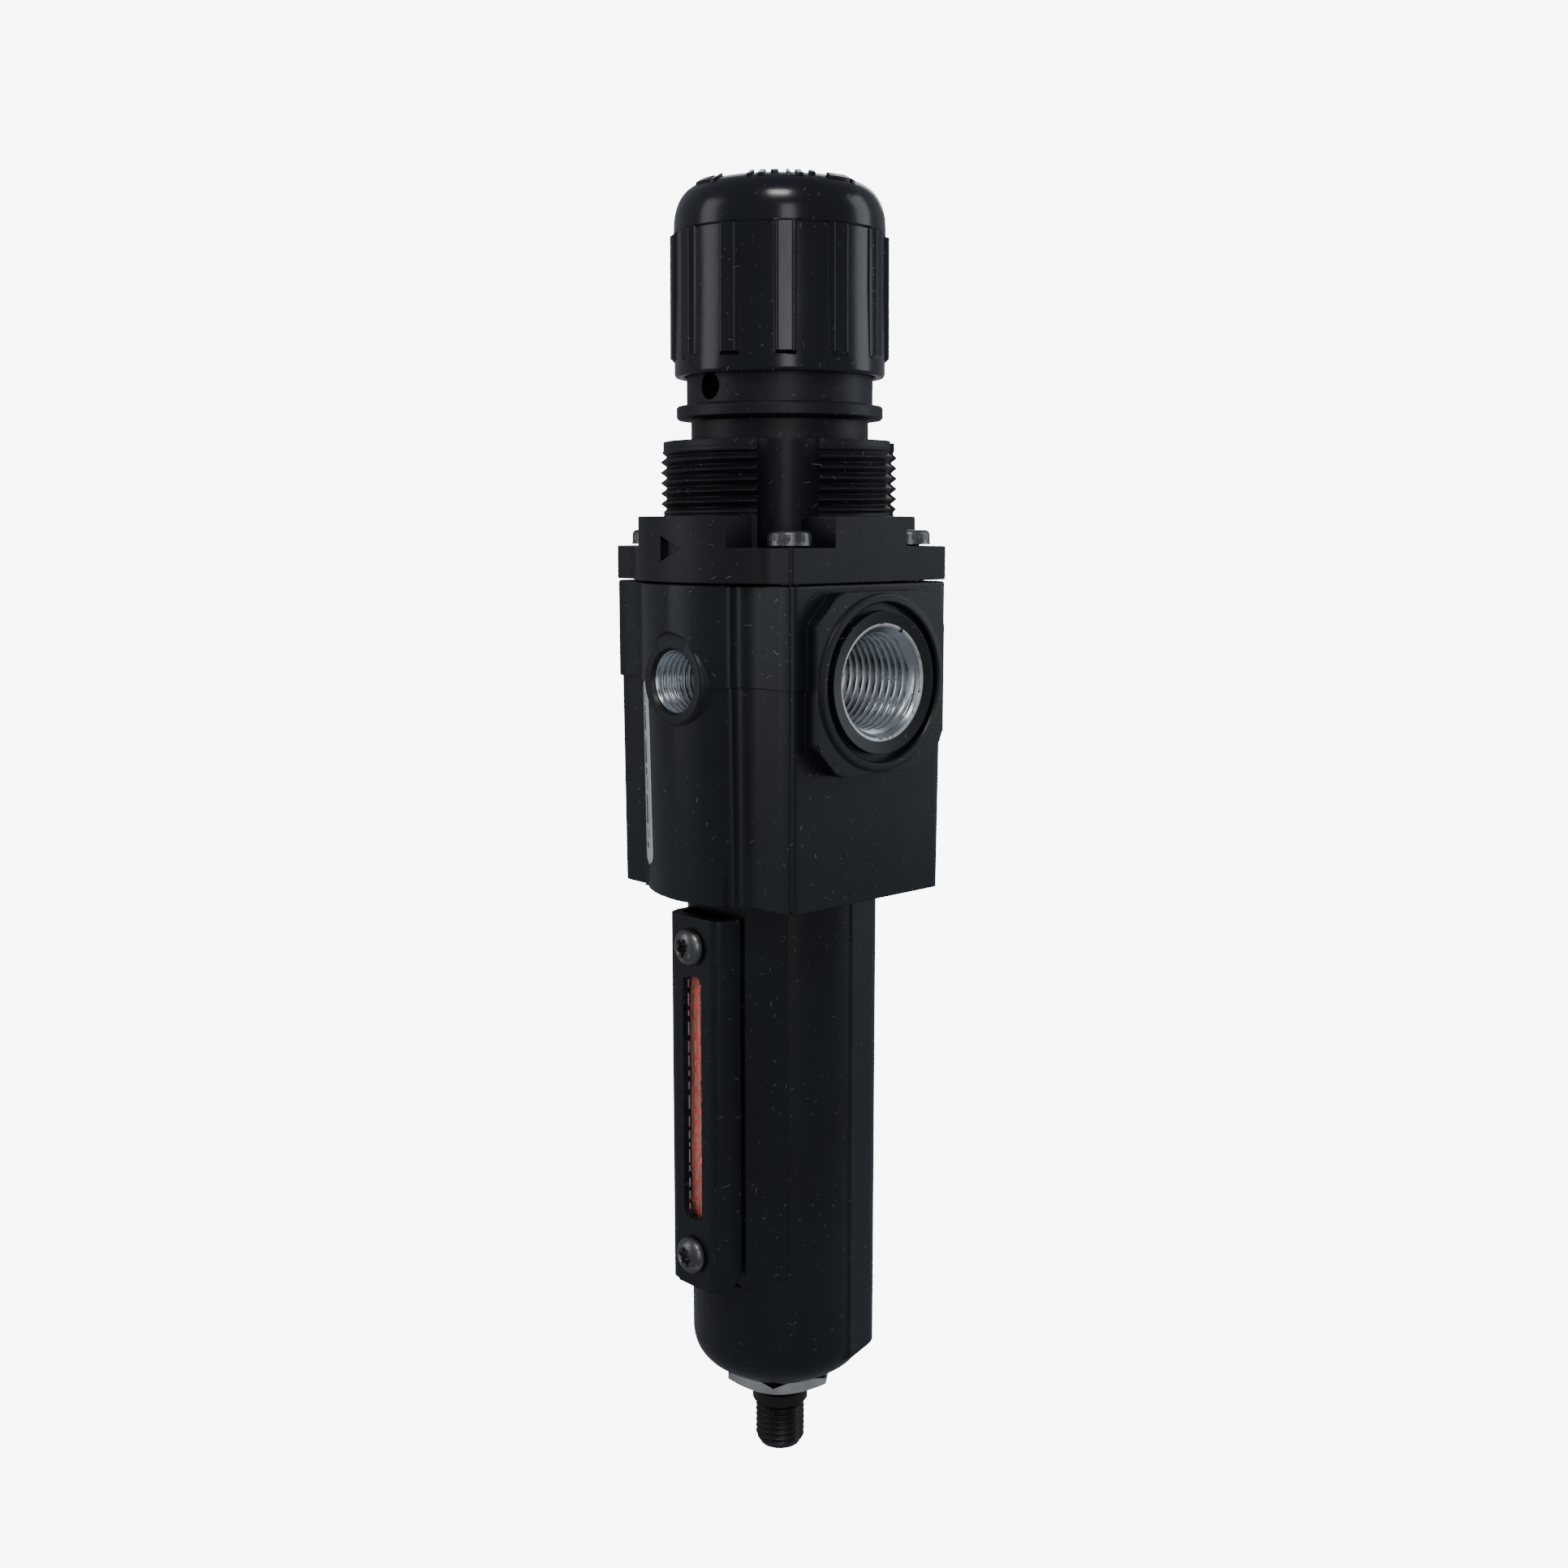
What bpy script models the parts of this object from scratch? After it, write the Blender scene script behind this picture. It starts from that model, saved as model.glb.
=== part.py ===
"""Air filter and pressure regulator in one housing, with a metal bowl and a sight glass.

Frame: origin where the pipe ports' axis crosses the upright axis of the housing.
+X leaves the outlet port, -Y leaves the front gauge port, +Z points at the adjusting knob.
All dimensions below are in millimetres, and MM turns them into metres.
"""
import math

import bmesh
import bpy
from mathutils import Matrix, Vector

MM = 0.001
GAP = 0.3                    # clearance kept between neighbouring pieces

# ---------------------------------------------------------------- driving dimensions
HALF_X, HALF_Y = 26.0, 21.7  # half width and half depth of the housing's square block
NOSE_R, NOSE_OFF = 29.6, 2.0  # the rounded nose at front and back: two arcs that meet in a ridge
NOSE_X = 13.0                # half width of the nose
SEAM_Z = 19.0                # joint face between housing and bonnet
BODY_BOTTOM = -43.6
PORT_FACE = 29.7             # distance of the pipe port faces from the centre
PORT_R = 9.3                 # pipe thread, minor radius
PORT_MOUTH_R = 11.1
OCT_HALF, OCT_CUT = 17.6, 5.8
GAUGE_FACE = 28.8
GAUGE_R, GAUGE_MOUTH_R, GAUGE_PAD_R = 5.7, 6.27, 8.8
SCREW_X, SCREW_Y = 20.3, 16.6

PLATE_TOP, RING_TOP = 26.0, 31.9
THREAD_ROOT = 22.9           # panel-nut thread, drawn plain at its root
THREAD_TOP = 46.6
COLLAR_R, COLLAR_Z0, COLLAR_Z1 = 20.7, 50.9, 53.5
NECK_R, NECK_TOP = 18.65, 64.5

KNOB_BOTTOM, KNOB_TOP = 59.2, 96.8
KNOB_R, RIB_R, RIB_COUNT, RIB_W = 21.0, 21.65, 12, 3.0
RIB_START = -40.5            # degrees, direction of the first rib

BOWL_R, BOWL_BORE = 18.67, 16.4
BOWL_TOP, BOWL_FOOT = -22.0, -149.0
PAD_Y, PAD_HALF = 17.5, 8.3  # flat that carries the sight glass
PAD_Z0, PAD_Z1 = -125.0, -44.2
COVER_Y, COVER_HALF = 24.4, 7.7
COVER_Z0, COVER_Z1 = -125.1, -47.3
GLASS_SCREW_Z = (-53.4, -118.1)
DRAIN_BOTTOM = -167.6

for old in list(bpy.data.objects):
    bpy.data.objects.remove(old, do_unlink=True)

PARTS = bpy.data.collections.new("filter_regulator")
TOOLS = bpy.data.collections.new("filter_regulator_cutters")
bpy.context.scene.collection.children.link(PARTS)
bpy.context.scene.collection.children.link(TOOLS)


# ---------------------------------------------------------------- materials
def material(name, colour, roughness, metallic=0.0, alpha=1.0):
    mat = bpy.data.materials.new(name)
    mat.use_nodes = True
    shader = mat.node_tree.nodes["Principled BSDF"]
    shader.inputs["Base Color"].default_value = (*colour, 1.0)
    shader.inputs["Roughness"].default_value = roughness
    shader.inputs["Metallic"].default_value = metallic
    shader.inputs["Alpha"].default_value = alpha
    return mat


BLACK_PAINT = material("black_paint", (0.012, 0.013, 0.016), 0.35)
BLACK_PLASTIC = material("black_plastic", (0.010, 0.010, 0.013), 0.45)
KNOB_PLASTIC = material("knob_plastic", (0.008, 0.009, 0.014), 0.28)
DARK_STEEL = material("dark_steel", (0.10, 0.10, 0.10), 0.35, 0.9)
ZINC = material("zinc_plate", (0.62, 0.63, 0.64), 0.3, 1.0)
SPRING_STEEL = material("spring_steel", (0.40, 0.40, 0.42), 0.3, 1.0)
BRASS = material("brass", (0.70, 0.52, 0.22), 0.3, 1.0)
RUBBER = material("rubber", (0.02, 0.02, 0.02), 0.8)
ORANGE_RUBBER = material("orange_rubber", (0.55, 0.13, 0.04), 0.6)
CLEAR = material("clear_lens", (0.85, 0.88, 0.88), 0.08, 0.0, 0.35)
SINTERED = material("sintered_white", (0.80, 0.79, 0.74), 0.9)
WHITE_PLASTIC = material("white_plastic", (0.75, 0.75, 0.73), 0.5)


# ---------------------------------------------------------------- helpers
def place(obj, tool=False):
    (TOOLS if tool else PARTS).objects.link(obj)
    if tool:
        obj.hide_render = True
        obj.display_type = "WIRE"
    return obj


def paint(obj, mat):
    obj.data.materials.clear()
    obj.data.materials.append(mat)
    return obj


def from_bmesh(name, bm, tool=False):
    mesh = bpy.data.meshes.new(name)
    bmesh.ops.recalc_face_normals(bm, faces=bm.faces)
    bm.to_mesh(mesh)
    bm.free()
    return place(bpy.data.objects.new(name, mesh), tool)


def smooth(obj, degrees=30):
    obj.data.shade_smooth()
    obj.data.set_sharp_from_angle(angle=math.radians(degrees))
    return obj


def box(name, low, high, tool=True):
    """A box between two corners."""
    bm = bmesh.new()
    bmesh.ops.create_cube(bm, size=1.0)
    low, high = Vector(low) * MM, Vector(high) * MM
    size, middle = high - low, (high + low) / 2
    for v in bm.verts:
        v.co = Vector((v.co.x * size.x, v.co.y * size.y, v.co.z * size.z)) + middle
    return from_bmesh(name, bm, tool)


AXES = {
    "Z": Matrix.Identity(4),
    "X": Matrix.Rotation(math.radians(90), 4, "Y"),
    "Y": Matrix.Rotation(math.radians(-90), 4, "X"),
}


def rod(name, radius, start, stop, axis="Z", at=(0, 0, 0), sides=32, radius2=None, turn=0.0, tool=True):
    """A cylinder, cone or prism along an axis, from start to stop on it."""
    bm = bmesh.new()
    bmesh.ops.create_cone(
        bm, cap_ends=True, segments=sides, radius1=radius * MM,
        radius2=(radius if radius2 is None else radius2) * MM, depth=(stop - start) * MM,
    )
    middle = {"X": ((start + stop) / 2, 0, 0), "Y": (0, (start + stop) / 2, 0), "Z": (0, 0, (start + stop) / 2)}[axis]
    spin = Matrix.Rotation(math.radians(turn), 4, "Z")
    where = Matrix.Translation((Vector(middle) + Vector(at)) * MM)
    bmesh.ops.transform(bm, matrix=where @ AXES[axis] @ spin, verts=bm.verts)
    return from_bmesh(name, bm, tool)


def turned(name, profile, steps=40, tool=False, closed=False):
    """A turned piece: a profile of (radius, height) that runs down its outer side, swept about Z."""
    mesh = bpy.data.meshes.new(name)
    points = [(r * MM, 0.0, z * MM) for r, z in profile]
    edges = [(i, i + 1) for i in range(len(points) - 1)]
    if closed:
        edges.append((len(points) - 1, 0))
    mesh.from_pydata(points, edges, [])
    obj = place(bpy.data.objects.new(name, mesh), tool)
    screw = obj.modifiers.new("turn", "SCREW")
    screw.axis = "Z"
    screw.angle = math.tau
    screw.steps = screw.render_steps = steps
    screw.use_merge_vertices = True
    screw.merge_threshold = 0.00001
    screw.use_normal_calculate = False
    screw.use_smooth_shade = True
    return obj


def flat_shape(name, outlines, z0, z1, tool=False, to_axis=None):
    """A plate cut to an outline: a filled 2D curve with an extrude of half its thickness, made a mesh."""
    curve = bpy.data.curves.new(name + "_outline", "CURVE")
    curve.dimensions = "2D"
    curve.fill_mode = "BOTH"
    curve.extrude = (z1 - z0) / 2 * MM
    for outline in outlines:
        spline = curve.splines.new("POLY")
        spline.points.add(len(outline) - 1)
        for point, (x, y) in zip(spline.points, outline):
            point.co = (x * MM, y * MM, 0.0, 1.0)
        spline.use_cyclic_u = True
    guide = bpy.data.objects.new(name + "_outline", curve)
    bpy.context.scene.collection.objects.link(guide)
    guide.location.z = (z0 + z1) / 2 * MM
    bpy.context.view_layer.update()
    mesh = bpy.data.meshes.new_from_object(guide.evaluated_get(bpy.context.evaluated_depsgraph_get()))
    bm = bmesh.new()
    bm.from_mesh(mesh)
    bmesh.ops.remove_doubles(bm, verts=bm.verts, dist=0.000002)
    matrix = guide.matrix_world.copy()
    if to_axis is not None:
        matrix = to_axis @ matrix
    bmesh.ops.transform(bm, matrix=matrix, verts=bm.verts)
    bpy.data.objects.remove(guide)
    bpy.data.meshes.remove(mesh)
    return from_bmesh(name, bm, tool)


def coil(name, radius, wire, z0, z1, turns, per_turn):
    """A coil spring with its end turns closed up, as a bevelled curve."""
    curve = bpy.data.curves.new(name, "CURVE")
    curve.dimensions = "3D"
    curve.bevel_depth = wire / 2 * MM
    curve.bevel_resolution = 2
    curve.use_fill_caps = True
    count = int(turns * per_turn) + 1
    spline = curve.splines.new("POLY")
    spline.points.add(count - 1)
    low, high = z0 + wire / 2, z1 - wire / 2
    dead = 0.75                                     # end turns that lie almost flat
    for i in range(count):
        turn = i / per_turn
        share = min(max((turn - dead) / (turns - 2 * dead), 0.0), 1.0)
        rise = share * (high - low - 2.1 * wire) + 1.05 * wire * (min(turn, dead) / dead) \
            + 1.05 * wire * (max(turn - (turns - dead), 0.0) / dead)
        a = math.tau * turn
        spline.points[i].co = (radius * MM * math.cos(a), radius * MM * math.sin(a), (low + rise) * MM, 1.0)
    obj = bpy.data.objects.new(name, curve)
    bpy.context.scene.collection.objects.link(obj)
    bpy.context.view_layer.update()
    mesh = bpy.data.meshes.new_from_object(obj.evaluated_get(bpy.context.evaluated_depsgraph_get()))
    bm = bmesh.new()
    bm.from_mesh(mesh)
    bmesh.ops.remove_doubles(bm, verts=bm.verts, dist=0.000002)
    bpy.data.objects.remove(obj)
    return from_bmesh(name, bm)


def boolean(obj, how, *tools):
    for t in tools:
        mod = obj.modifiers.new(how.lower() + "_" + t.name, "BOOLEAN")
        mod.operation = how
        mod.solver = "EXACT"
        mod.object = t
    return obj


def cut(obj, *tools):
    return boolean(obj, "DIFFERENCE", *tools)


def join(obj, *tools):
    return boolean(obj, "UNION", *tools)


def mirror_four(quarter):
    """A full outline from the quarter that runs from the front centre to the +X side."""
    right = quarter + [(x, -y) for x, y in reversed(quarter)]
    left = [(-x, y) for x, y in reversed(right)]
    out = []
    for p in right + left:
        if not out or (abs(out[-1][0] - p[0]) + abs(out[-1][1] - p[1])) > 0.01:
            out.append(p)
    if abs(out[0][0] - out[-1][0]) + abs(out[0][1] - out[-1][1]) < 0.01:
        out.pop()
    return out


# ---------------------------------------------------------------- outlines
def body_outline():
    """The housing's plan: a square block with a rounded nose at front and back."""
    quarter = []
    for i in range(6):
        x = 12.6 * i / 5
        quarter.append((x, -math.sqrt(NOSE_R ** 2 - (x + NOSE_OFF) ** 2)))
    quarter += [(NOSE_X, -24.7), (13.6, -23.0), (15.0, -22.3), (17.6, -21.9), (HALF_X - 2.4, -HALF_Y)]
    quarter += [(HALF_X - 1.0, -HALF_Y + 0.4), (HALF_X - 0.3, -HALF_Y + 1.2), (HALF_X, -HALF_Y + 2.4)]
    return mirror_four(quarter)


BONNET_NOSE = 29.4


def bonnet_outline():
    quarter = []
    for i in range(8):
        x = 19.4 * i / 7
        quarter.append((x, -math.sqrt(BONNET_NOSE ** 2 - x ** 2)))
    quarter += [(20.6, -HALF_Y - 0.08), (HALF_X - 1.2, -HALF_Y), (HALF_X - 0.35, -HALF_Y + 0.35), (HALF_X, -HALF_Y + 1.2)]
    return mirror_four(quarter)


def ring_outline():
    """The bonnet's upper step: the same plan with a square pocket at each corner screw."""
    quarter = []
    for i in range(6):
        x = 13.0 * i / 5
        quarter.append((x, -math.sqrt((BONNET_NOSE - 0.1) ** 2 - x ** 2)))
    quarter += [(13.0, -9.9), (HALF_X - 0.1, -9.9)]
    return mirror_four(quarter)


def octagon(half, corner):
    s = half - corner
    return [(half, -s), (half, s), (s, half), (-s, half), (-half, s), (-half, -s), (-s, -half), (s, -half)]


# ================================================================ housing
body = flat_shape("body", [body_outline()], -1.0, SEAM_Z)
lower = flat_shape("body_lower", [body_outline()], BODY_BOTTOM, 3.0, tool=True)
for v in lower.data.vertices:                       # casting draft below the parting line
    share = v.co.z / (BODY_BOTTOM * MM)
    k = 0.992 - 0.020 * share
    v.co.x *= k
    v.co.y *= k
join(body, lower)

for side, sign in (("outlet", 1), ("inlet", -1)):
    turn = Matrix.Rotation(math.radians(90 * sign), 4, "Y")
    boss = flat_shape(side + "_boss", [octagon(OCT_HALF, OCT_CUT)], 20.0, PORT_FACE - 0.6, tool=True, to_axis=turn)
    face = rod(side + "_face", 17.3, *sorted((sign * 22.0, sign * PORT_FACE)), axis="X", sides=40)
    join(body, boss, face)
for side, sign in (("front", -1), ("rear", 1)):
    pad = rod(side + "_gauge_pad", GAUGE_PAD_R, *sorted((sign * 22.0, sign * (GAUGE_FACE + 0.4))), axis="Y", sides=32)
    trim = rod(side + "_gauge_spotface", GAUGE_PAD_R + 0.7, *sorted((sign * GAUGE_FACE, sign * 33.0)), axis="Y", sides=32, turn=2.0)
    join(body, pad)
    cut(body, trim)

# flow passages: diaphragm chamber, valve chamber, seat, bowl socket, ports
cut(
    body,
    rod("diaphragm_recess", 18.7, 17.4, 21.0, sides=40),
    rod("diaphragm_chamber", 15.5, 12.0, 18.0, sides=40),
    rod("valve_chamber", 7.0, -12.0, 13.0, sides=28, turn=2.3),
    rod("seat_bore", 4.2, -18.0, -11.0, sides=24),
    rod("bowl_socket", 19.2, BODY_BOTTOM - 2.0, -17.0, sides=48),
    rod("inlet_down", 3.0, -18.0, 0.0, at=(-16.0, 0, 0), sides=16),
    rod("outlet_bore", PORT_R, 0.0, PORT_FACE + 1.0, axis="X", sides=32),
    rod("inlet_bore", PORT_R, -PORT_FACE - 1.0, -10.5, axis="X", sides=32),
    rod("outlet_mouth", 9.0, 27.6, PORT_FACE + 0.3, axis="X", sides=32, radius2=PORT_MOUTH_R + 0.15),
    rod("inlet_mouth", PORT_MOUTH_R + 0.15, -PORT_FACE - 0.3, -27.6, axis="X", sides=32, radius2=9.0),
    rod("front_gauge_bore", GAUGE_R, -32.0, -16.0, axis="Y", sides=24),
    rod("rear_gauge_bore", GAUGE_R, 16.0, 32.0, axis="Y", sides=24),
    rod("gauge_link", 1.5, -17.0, 17.0, axis="Y", sides=12, turn=7.0),
)
for side, sign in (("outlet", 1), ("inlet", -1)):
    a, b = sorted((sign * (PORT_FACE - 1.3), sign * (PORT_FACE + 1.0)))
    groove = rod(side + "_seal_groove", 15.3, a, b, axis="X", sides=40)
    core = rod(side + "_seal_core", 14.0, a - 1.0, b + 1.0, axis="X", sides=40)
    cut(groove, core)
    cut(body, groove)
for i, (sx, sy) in enumerate(((1, -1), (1, 1), (-1, 1), (-1, -1)), 1):
    cut(body, rod(f"body_screw_hole_{i}", 2.3, 5.0, SEAM_Z + 1.0, at=(sx * SCREW_X, sy * SCREW_Y, 0), sides=16))
paint(body, BLACK_PAINT)

# ================================================================ bonnet
bonnet = flat_shape("bonnet", [bonnet_outline()], SEAM_Z + GAP, PLATE_TOP)
step = flat_shape("bonnet_step", [ring_outline()], PLATE_TOP - 1.0, RING_TOP, tool=True)

profile = [(0.0, NECK_TOP), (NECK_R - 0.5, NECK_TOP), (NECK_R, NECK_TOP - 0.5), (NECK_R, COLLAR_Z1),
           (COLLAR_R, COLLAR_Z1 - 0.1), (COLLAR_R, COLLAR_Z0), (17.8, COLLAR_Z0), (17.8, THREAD_TOP + 0.6),
           (18.6, THREAD_TOP), (THREAD_ROOT - 0.3, THREAD_TOP), (THREAD_ROOT, THREAD_TOP - 0.3),
           (THREAD_ROOT, PLATE_TOP - 2.0), (0.0, PLATE_TOP - 2.0)]
neck = turned("bonnet_neck", profile, steps=48, tool=True)

relief = []
for i, (sx, sy) in enumerate(((1, -1), (1, 1), (-1, 1), (-1, -1)), 1):
    a = math.atan2(sy * SCREW_Y, sx * SCREW_X)
    relief.append(rod(f"thread_relief_{i}", 6.2, PLATE_TOP - 0.8, THREAD_TOP + 1.4,
                      at=(24.6 * math.cos(a), 24.6 * math.sin(a), 0), sides=24))
cut(neck, *relief)
join(bonnet, step, neck)

spring_chamber = turned("spring_chamber", [(0, 60.9), (14.6, 60.9), (15.5, 60.0), (15.5, 18.0), (0, 18.0)], tool=True)
cut(
    bonnet,
    spring_chamber,
    rod("screw_bore", 5.3, 55.0, NECK_TOP + 1.0, sides=26, turn=2.9),
    rod("seal_wire_hole", 2.6, -25.0, 25.0, axis="Y", at=(0, 0, 56.9), sides=20),
)
arrow = [(-2.6, 28.2), (-2.6, 23.2), (3.4, 25.7)]
front_arrow = flat_shape("front_arrow", [arrow], 28.1, 33.0, tool=True, to_axis=Matrix.Rotation(math.radians(90), 4, "X"))
rear_arrow = flat_shape("rear_arrow", [arrow], -33.0, -28.1, tool=True, to_axis=Matrix.Rotation(math.radians(90), 4, "X"))
cut(bonnet, front_arrow, rear_arrow)
for i, (sx, sy) in enumerate(((1, -1), (1, 1), (-1, 1), (-1, -1)), 1):
    cut(bonnet, rod(f"bonnet_screw_hole_{i}", 2.4, SEAM_Z - 1.0, PLATE_TOP + 1.0, at=(sx * SCREW_X, sy * SCREW_Y, 0), sides=16))
    head = turned(f"bonnet_screw_{i}", [(0, 28.3), (1.2, 28.3), (1.2, 29.2), (3.4, 29.2), (4.0, 28.7), (4.2, 27.9), (4.2, 26.3),
                                        (2.0, 26.3), (2.0, 7.4), (1.6, 7.0), (0, 7.0)], steps=20)
    head.location = (sx * SCREW_X * MM, sy * SCREW_Y * MM, 0)
    paint(head, DARK_STEEL)
paint(bonnet, BLACK_PLASTIC)

# ================================================================ knob and adjusting screw
knob_profile = [(0, KNOB_TOP), (13.4, KNOB_TOP), (16.6, 96.15), (18.8, 94.75), (20.15, 92.7), (20.8, 90.3), (21.0, 87.0),
                (20.5, 86.6), (20.75, 62.2), (21.05, 61.7), (21.05, 59.5), (20.8, KNOB_BOTTOM), (19.3, KNOB_BOTTOM),
                (19.3, 70.0), (18.0, 71.0), (18.0, 90.0), (16.5, 92.3), (8.6, 92.3), (8.6, 69.0), (0, 69.0)]
knob = turned("knob", knob_profile, steps=48)
ribs = bmesh.new()
for k in range(RIB_COUNT):
    made = bmesh.ops.create_cube(ribs, size=1.0)
    a = math.radians(RIB_START + 360.0 / RIB_COUNT * k)
    matrix = Matrix.Rotation(a, 4, "Z") @ Matrix.Translation(Vector((20.55, 0, 74.575)) * MM) @ Matrix.Diagonal(
        Vector((2.2, RIB_W, 25.35, 1000.0)) * MM)
    bmesh.ops.transform(ribs, matrix=matrix, verts=made["verts"])
join(knob, from_bmesh("knob_ribs", ribs, tool=True))
cut(knob, rod("knob_socket", 7.27, 66.0, 84.0, sides=6))
paint(knob, KNOB_PLASTIC)

adjusting_screw = turned("adjusting_screw", [(0, 66.0), (5.0, 66.0), (5.0, 59.85), (8.5, 59.85), (8.5, 57.5), (4.0, 57.5),
                                             (4.0, 33.6), (3.4, 33.0), (0, 33.0)], steps=28)
join(adjusting_screw, rod("screw_hex", 6.93, 64.8, 78.0, sides=6))
paint(adjusting_screw, ZINC)

thrust_washer = turned("thrust_washer", [(9.0, 60.6), (9.0, 60.15), (5.4, 60.15), (5.4, 60.6)], steps=28, closed=True)
paint(thrust_washer, BRASS)

upper_spring_rest = turned("upper_spring_rest", [(12.8, 57.1), (12.8, 53.2), (7.2, 53.2), (7.2, 47.0), (4.35, 47.0), (4.35, 57.1)],
                           steps=32, closed=True)
paint(upper_spring_rest, ZINC)

adjusting_spring = coil("adjusting_spring", 10.9, 2.8, 22.6, 52.9, 6.5, 12)
paint(adjusting_spring, SPRING_STEEL)

# ================================================================ diaphragm and valve
lower_spring_rest = turned("lower_spring_rest", [(0, 25.6), (5.0, 25.6), (6.0, 24.6), (6.0, 22.2), (13.2, 22.2), (13.2, 19.6), (0, 19.6)], steps=32)
paint(lower_spring_rest, ZINC)
diaphragm = turned("diaphragm", [(18.4, 18.95), (18.4, 17.75), (3.5, 17.75), (3.5, 18.95)], steps=40, closed=True)
paint(diaphragm, RUBBER)
diaphragm_hub = turned("diaphragm_hub", [(0, 19.25), (3.1, 19.25), (3.1, 17.4), (12.4, 17.4), (12.4, 16.0), (4.0, 14.9), (0, 14.9)], steps=32)
paint(diaphragm_hub, BRASS)
valve_poppet = turned("valve_poppet", [(0, 14.5), (1.6, 14.5), (1.6, -16.6), (2.2, -17.35), (6.0, -17.35), (6.0, -20.3), (1.6, -20.3),
                                       (1.6, -32.4), (0, -32.4)], steps=24)
paint(valve_poppet, BRASS)
valve_spring = coil("valve_spring", 4.2, 0.9, -30.7, -20.75, 4.5, 12)
paint(valve_spring, SPRING_STEEL)
valve_cage = turned("valve_cage", [(0, -31.0), (7.6, -31.0), (7.6, -17.35), (9.8, -17.35), (9.8, -38.0), (0, -38.0)], steps=32)
cut(
    valve_cage,
    box("cage_window_x", (-12, -3.0, -29.0), (12, 3.0, -21.0)),
    box("cage_window_y", (-3.0, -12, -29.0), (3.0, 12, -21.0)),
    rod("cage_guide", 1.95, -34.3, -30.0, sides=16),
    rod("cage_stud_hole", 2.4, -39.0, -35.3, sides=16),
)
paint(valve_cage, WHITE_PLASTIC)

# ================================================================ filter
filter_element = turned("filter_element", [(12.6, -17.4), (12.6, -78.0), (10.2, -78.0), (10.2, -17.4)], steps=40, closed=True)
paint(filter_element, SINTERED)
baffle = turned("baffle", [(0, -35.6), (2.0, -35.6), (2.0, -78.4), (13.0, -78.4), (14.6, -80.6), (14.6, -81.8), (3.0, -80.4), (3.0, -84.0),
                           (0, -84.0)], steps=32)
paint(baffle, WHITE_PLASTIC)
air_deflector = turned("air_deflector", [(18.6, -17.4), (18.6, -21.7), (13.0, -21.7), (13.0, -17.4)], steps=40, closed=True)
louvers = bmesh.new()
for k in range(10):
    made = bmesh.ops.create_cube(louvers, size=1.0)
    matrix = (Matrix.Rotation(math.tau * k / 10, 4, "Z") @ Matrix.Translation(Vector((15.6, 0, -19.5)) * MM)
              @ Matrix.Rotation(math.radians(40), 4, "X") @ Matrix.Diagonal(Vector((3.4, 1.7, 12.0, 1000.0)) * MM))
    bmesh.ops.transform(louvers, matrix=matrix, verts=made["verts"])
cut(air_deflector, from_bmesh("deflector_louvers", louvers, tool=True))
paint(air_deflector, WHITE_PLASTIC)

# ================================================================ bowl
bowl = turned("bowl", [(0, BOWL_TOP), (BOWL_R, BOWL_TOP), (BOWL_R, -29.1), (17.5, -29.1), (17.5, -31.0), (BOWL_R, -31.0), (BOWL_R, -141.0),
                       (18.3, -143.2), (17.2, -145.2), (15.2, -147.0), (12.9, -148.2), (11.8, BOWL_FOOT), (0, BOWL_FOOT)], steps=48)
pad = flat_shape("glass_pad", [[(-13.5, -11.5), (-PAD_HALF, -PAD_Y), (PAD_HALF, -PAD_Y), (13.5, -11.5), (8.0, -4.0), (-8.0, -4.0)]],
                 PAD_Z0, PAD_Z1, tool=True)
for v in pad.data.vertices:                         # the pad's lower edge climbs away from the glass
    if v.co.z < (PAD_Z0 + 1.0) * MM and v.co.y > -0.014:
        v.co.z += 0.0033
spine_outline = [(17.6, -1.0), (18.8, 2.5), (16.8, 11.5), (8.2, 19.6), (-8.2, 19.6), (-16.8, 11.5), (-18.8, 2.5), (-17.6, -1.0)]
spine = flat_shape("bowl_spine", [spine_outline], -143.0, -44.2, tool=True)
for v in spine.data.vertices:                       # its foot climbs away from the front edge
    if v.co.z < -0.1 and v.co.y > 0.005:
        v.co.z += 0.0020
join(bowl, pad, spine)
cut(bowl, box("glass_flat", (-PAD_HALF - 0.6, -24.0, PAD_Z0 - 0.6), (PAD_HALF + 0.6, -PAD_Y, PAD_Z1 - 0.3)))
inside = turned("bowl_inside", [(0, BOWL_TOP + 1.0), (BOWL_BORE, BOWL_TOP + 1.0), (BOWL_BORE, -141.0), (15.4, -144.0), (12.8, -146.0), (10.5, -146.6),
                                (0, -146.6)], steps=48, tool=True)
inside.rotation_euler = (0, 0, math.radians(2.2))
posts = [rod(f"glass_post_{i}", 3.3, -22.1, -16.9, axis="Y", at=(0, 0, gz), sides=20) for i, gz in enumerate(GLASS_SCREW_Z, 1)]
join(bowl, *posts)
cut(
    bowl,
    inside,
    rod("drain_hole", 6.3, BOWL_FOOT - 1.0, -145.0, sides=32, turn=3.1),
    box("level_slot", (-1.6, -21.0, -110.0), (1.6, -14.0, -60.0)),
    *[rod(f"glass_screw_hole_{i}", 2.25, -24.0, -17.3, axis="Y", at=(0, 0, gz), sides=16) for i, gz in enumerate(GLASS_SCREW_Z, 1)],
)
paint(bowl, BLACK_PAINT)

bowl_o_ring = turned("bowl_o_ring", [(18.35 + 0.62 * math.cos(math.tau * k / 8), -30.05 - 0.62 * math.sin(math.tau * k / 8)) for k in range(8)],
                     steps=36, closed=True)
paint(bowl_o_ring, RUBBER)

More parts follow.
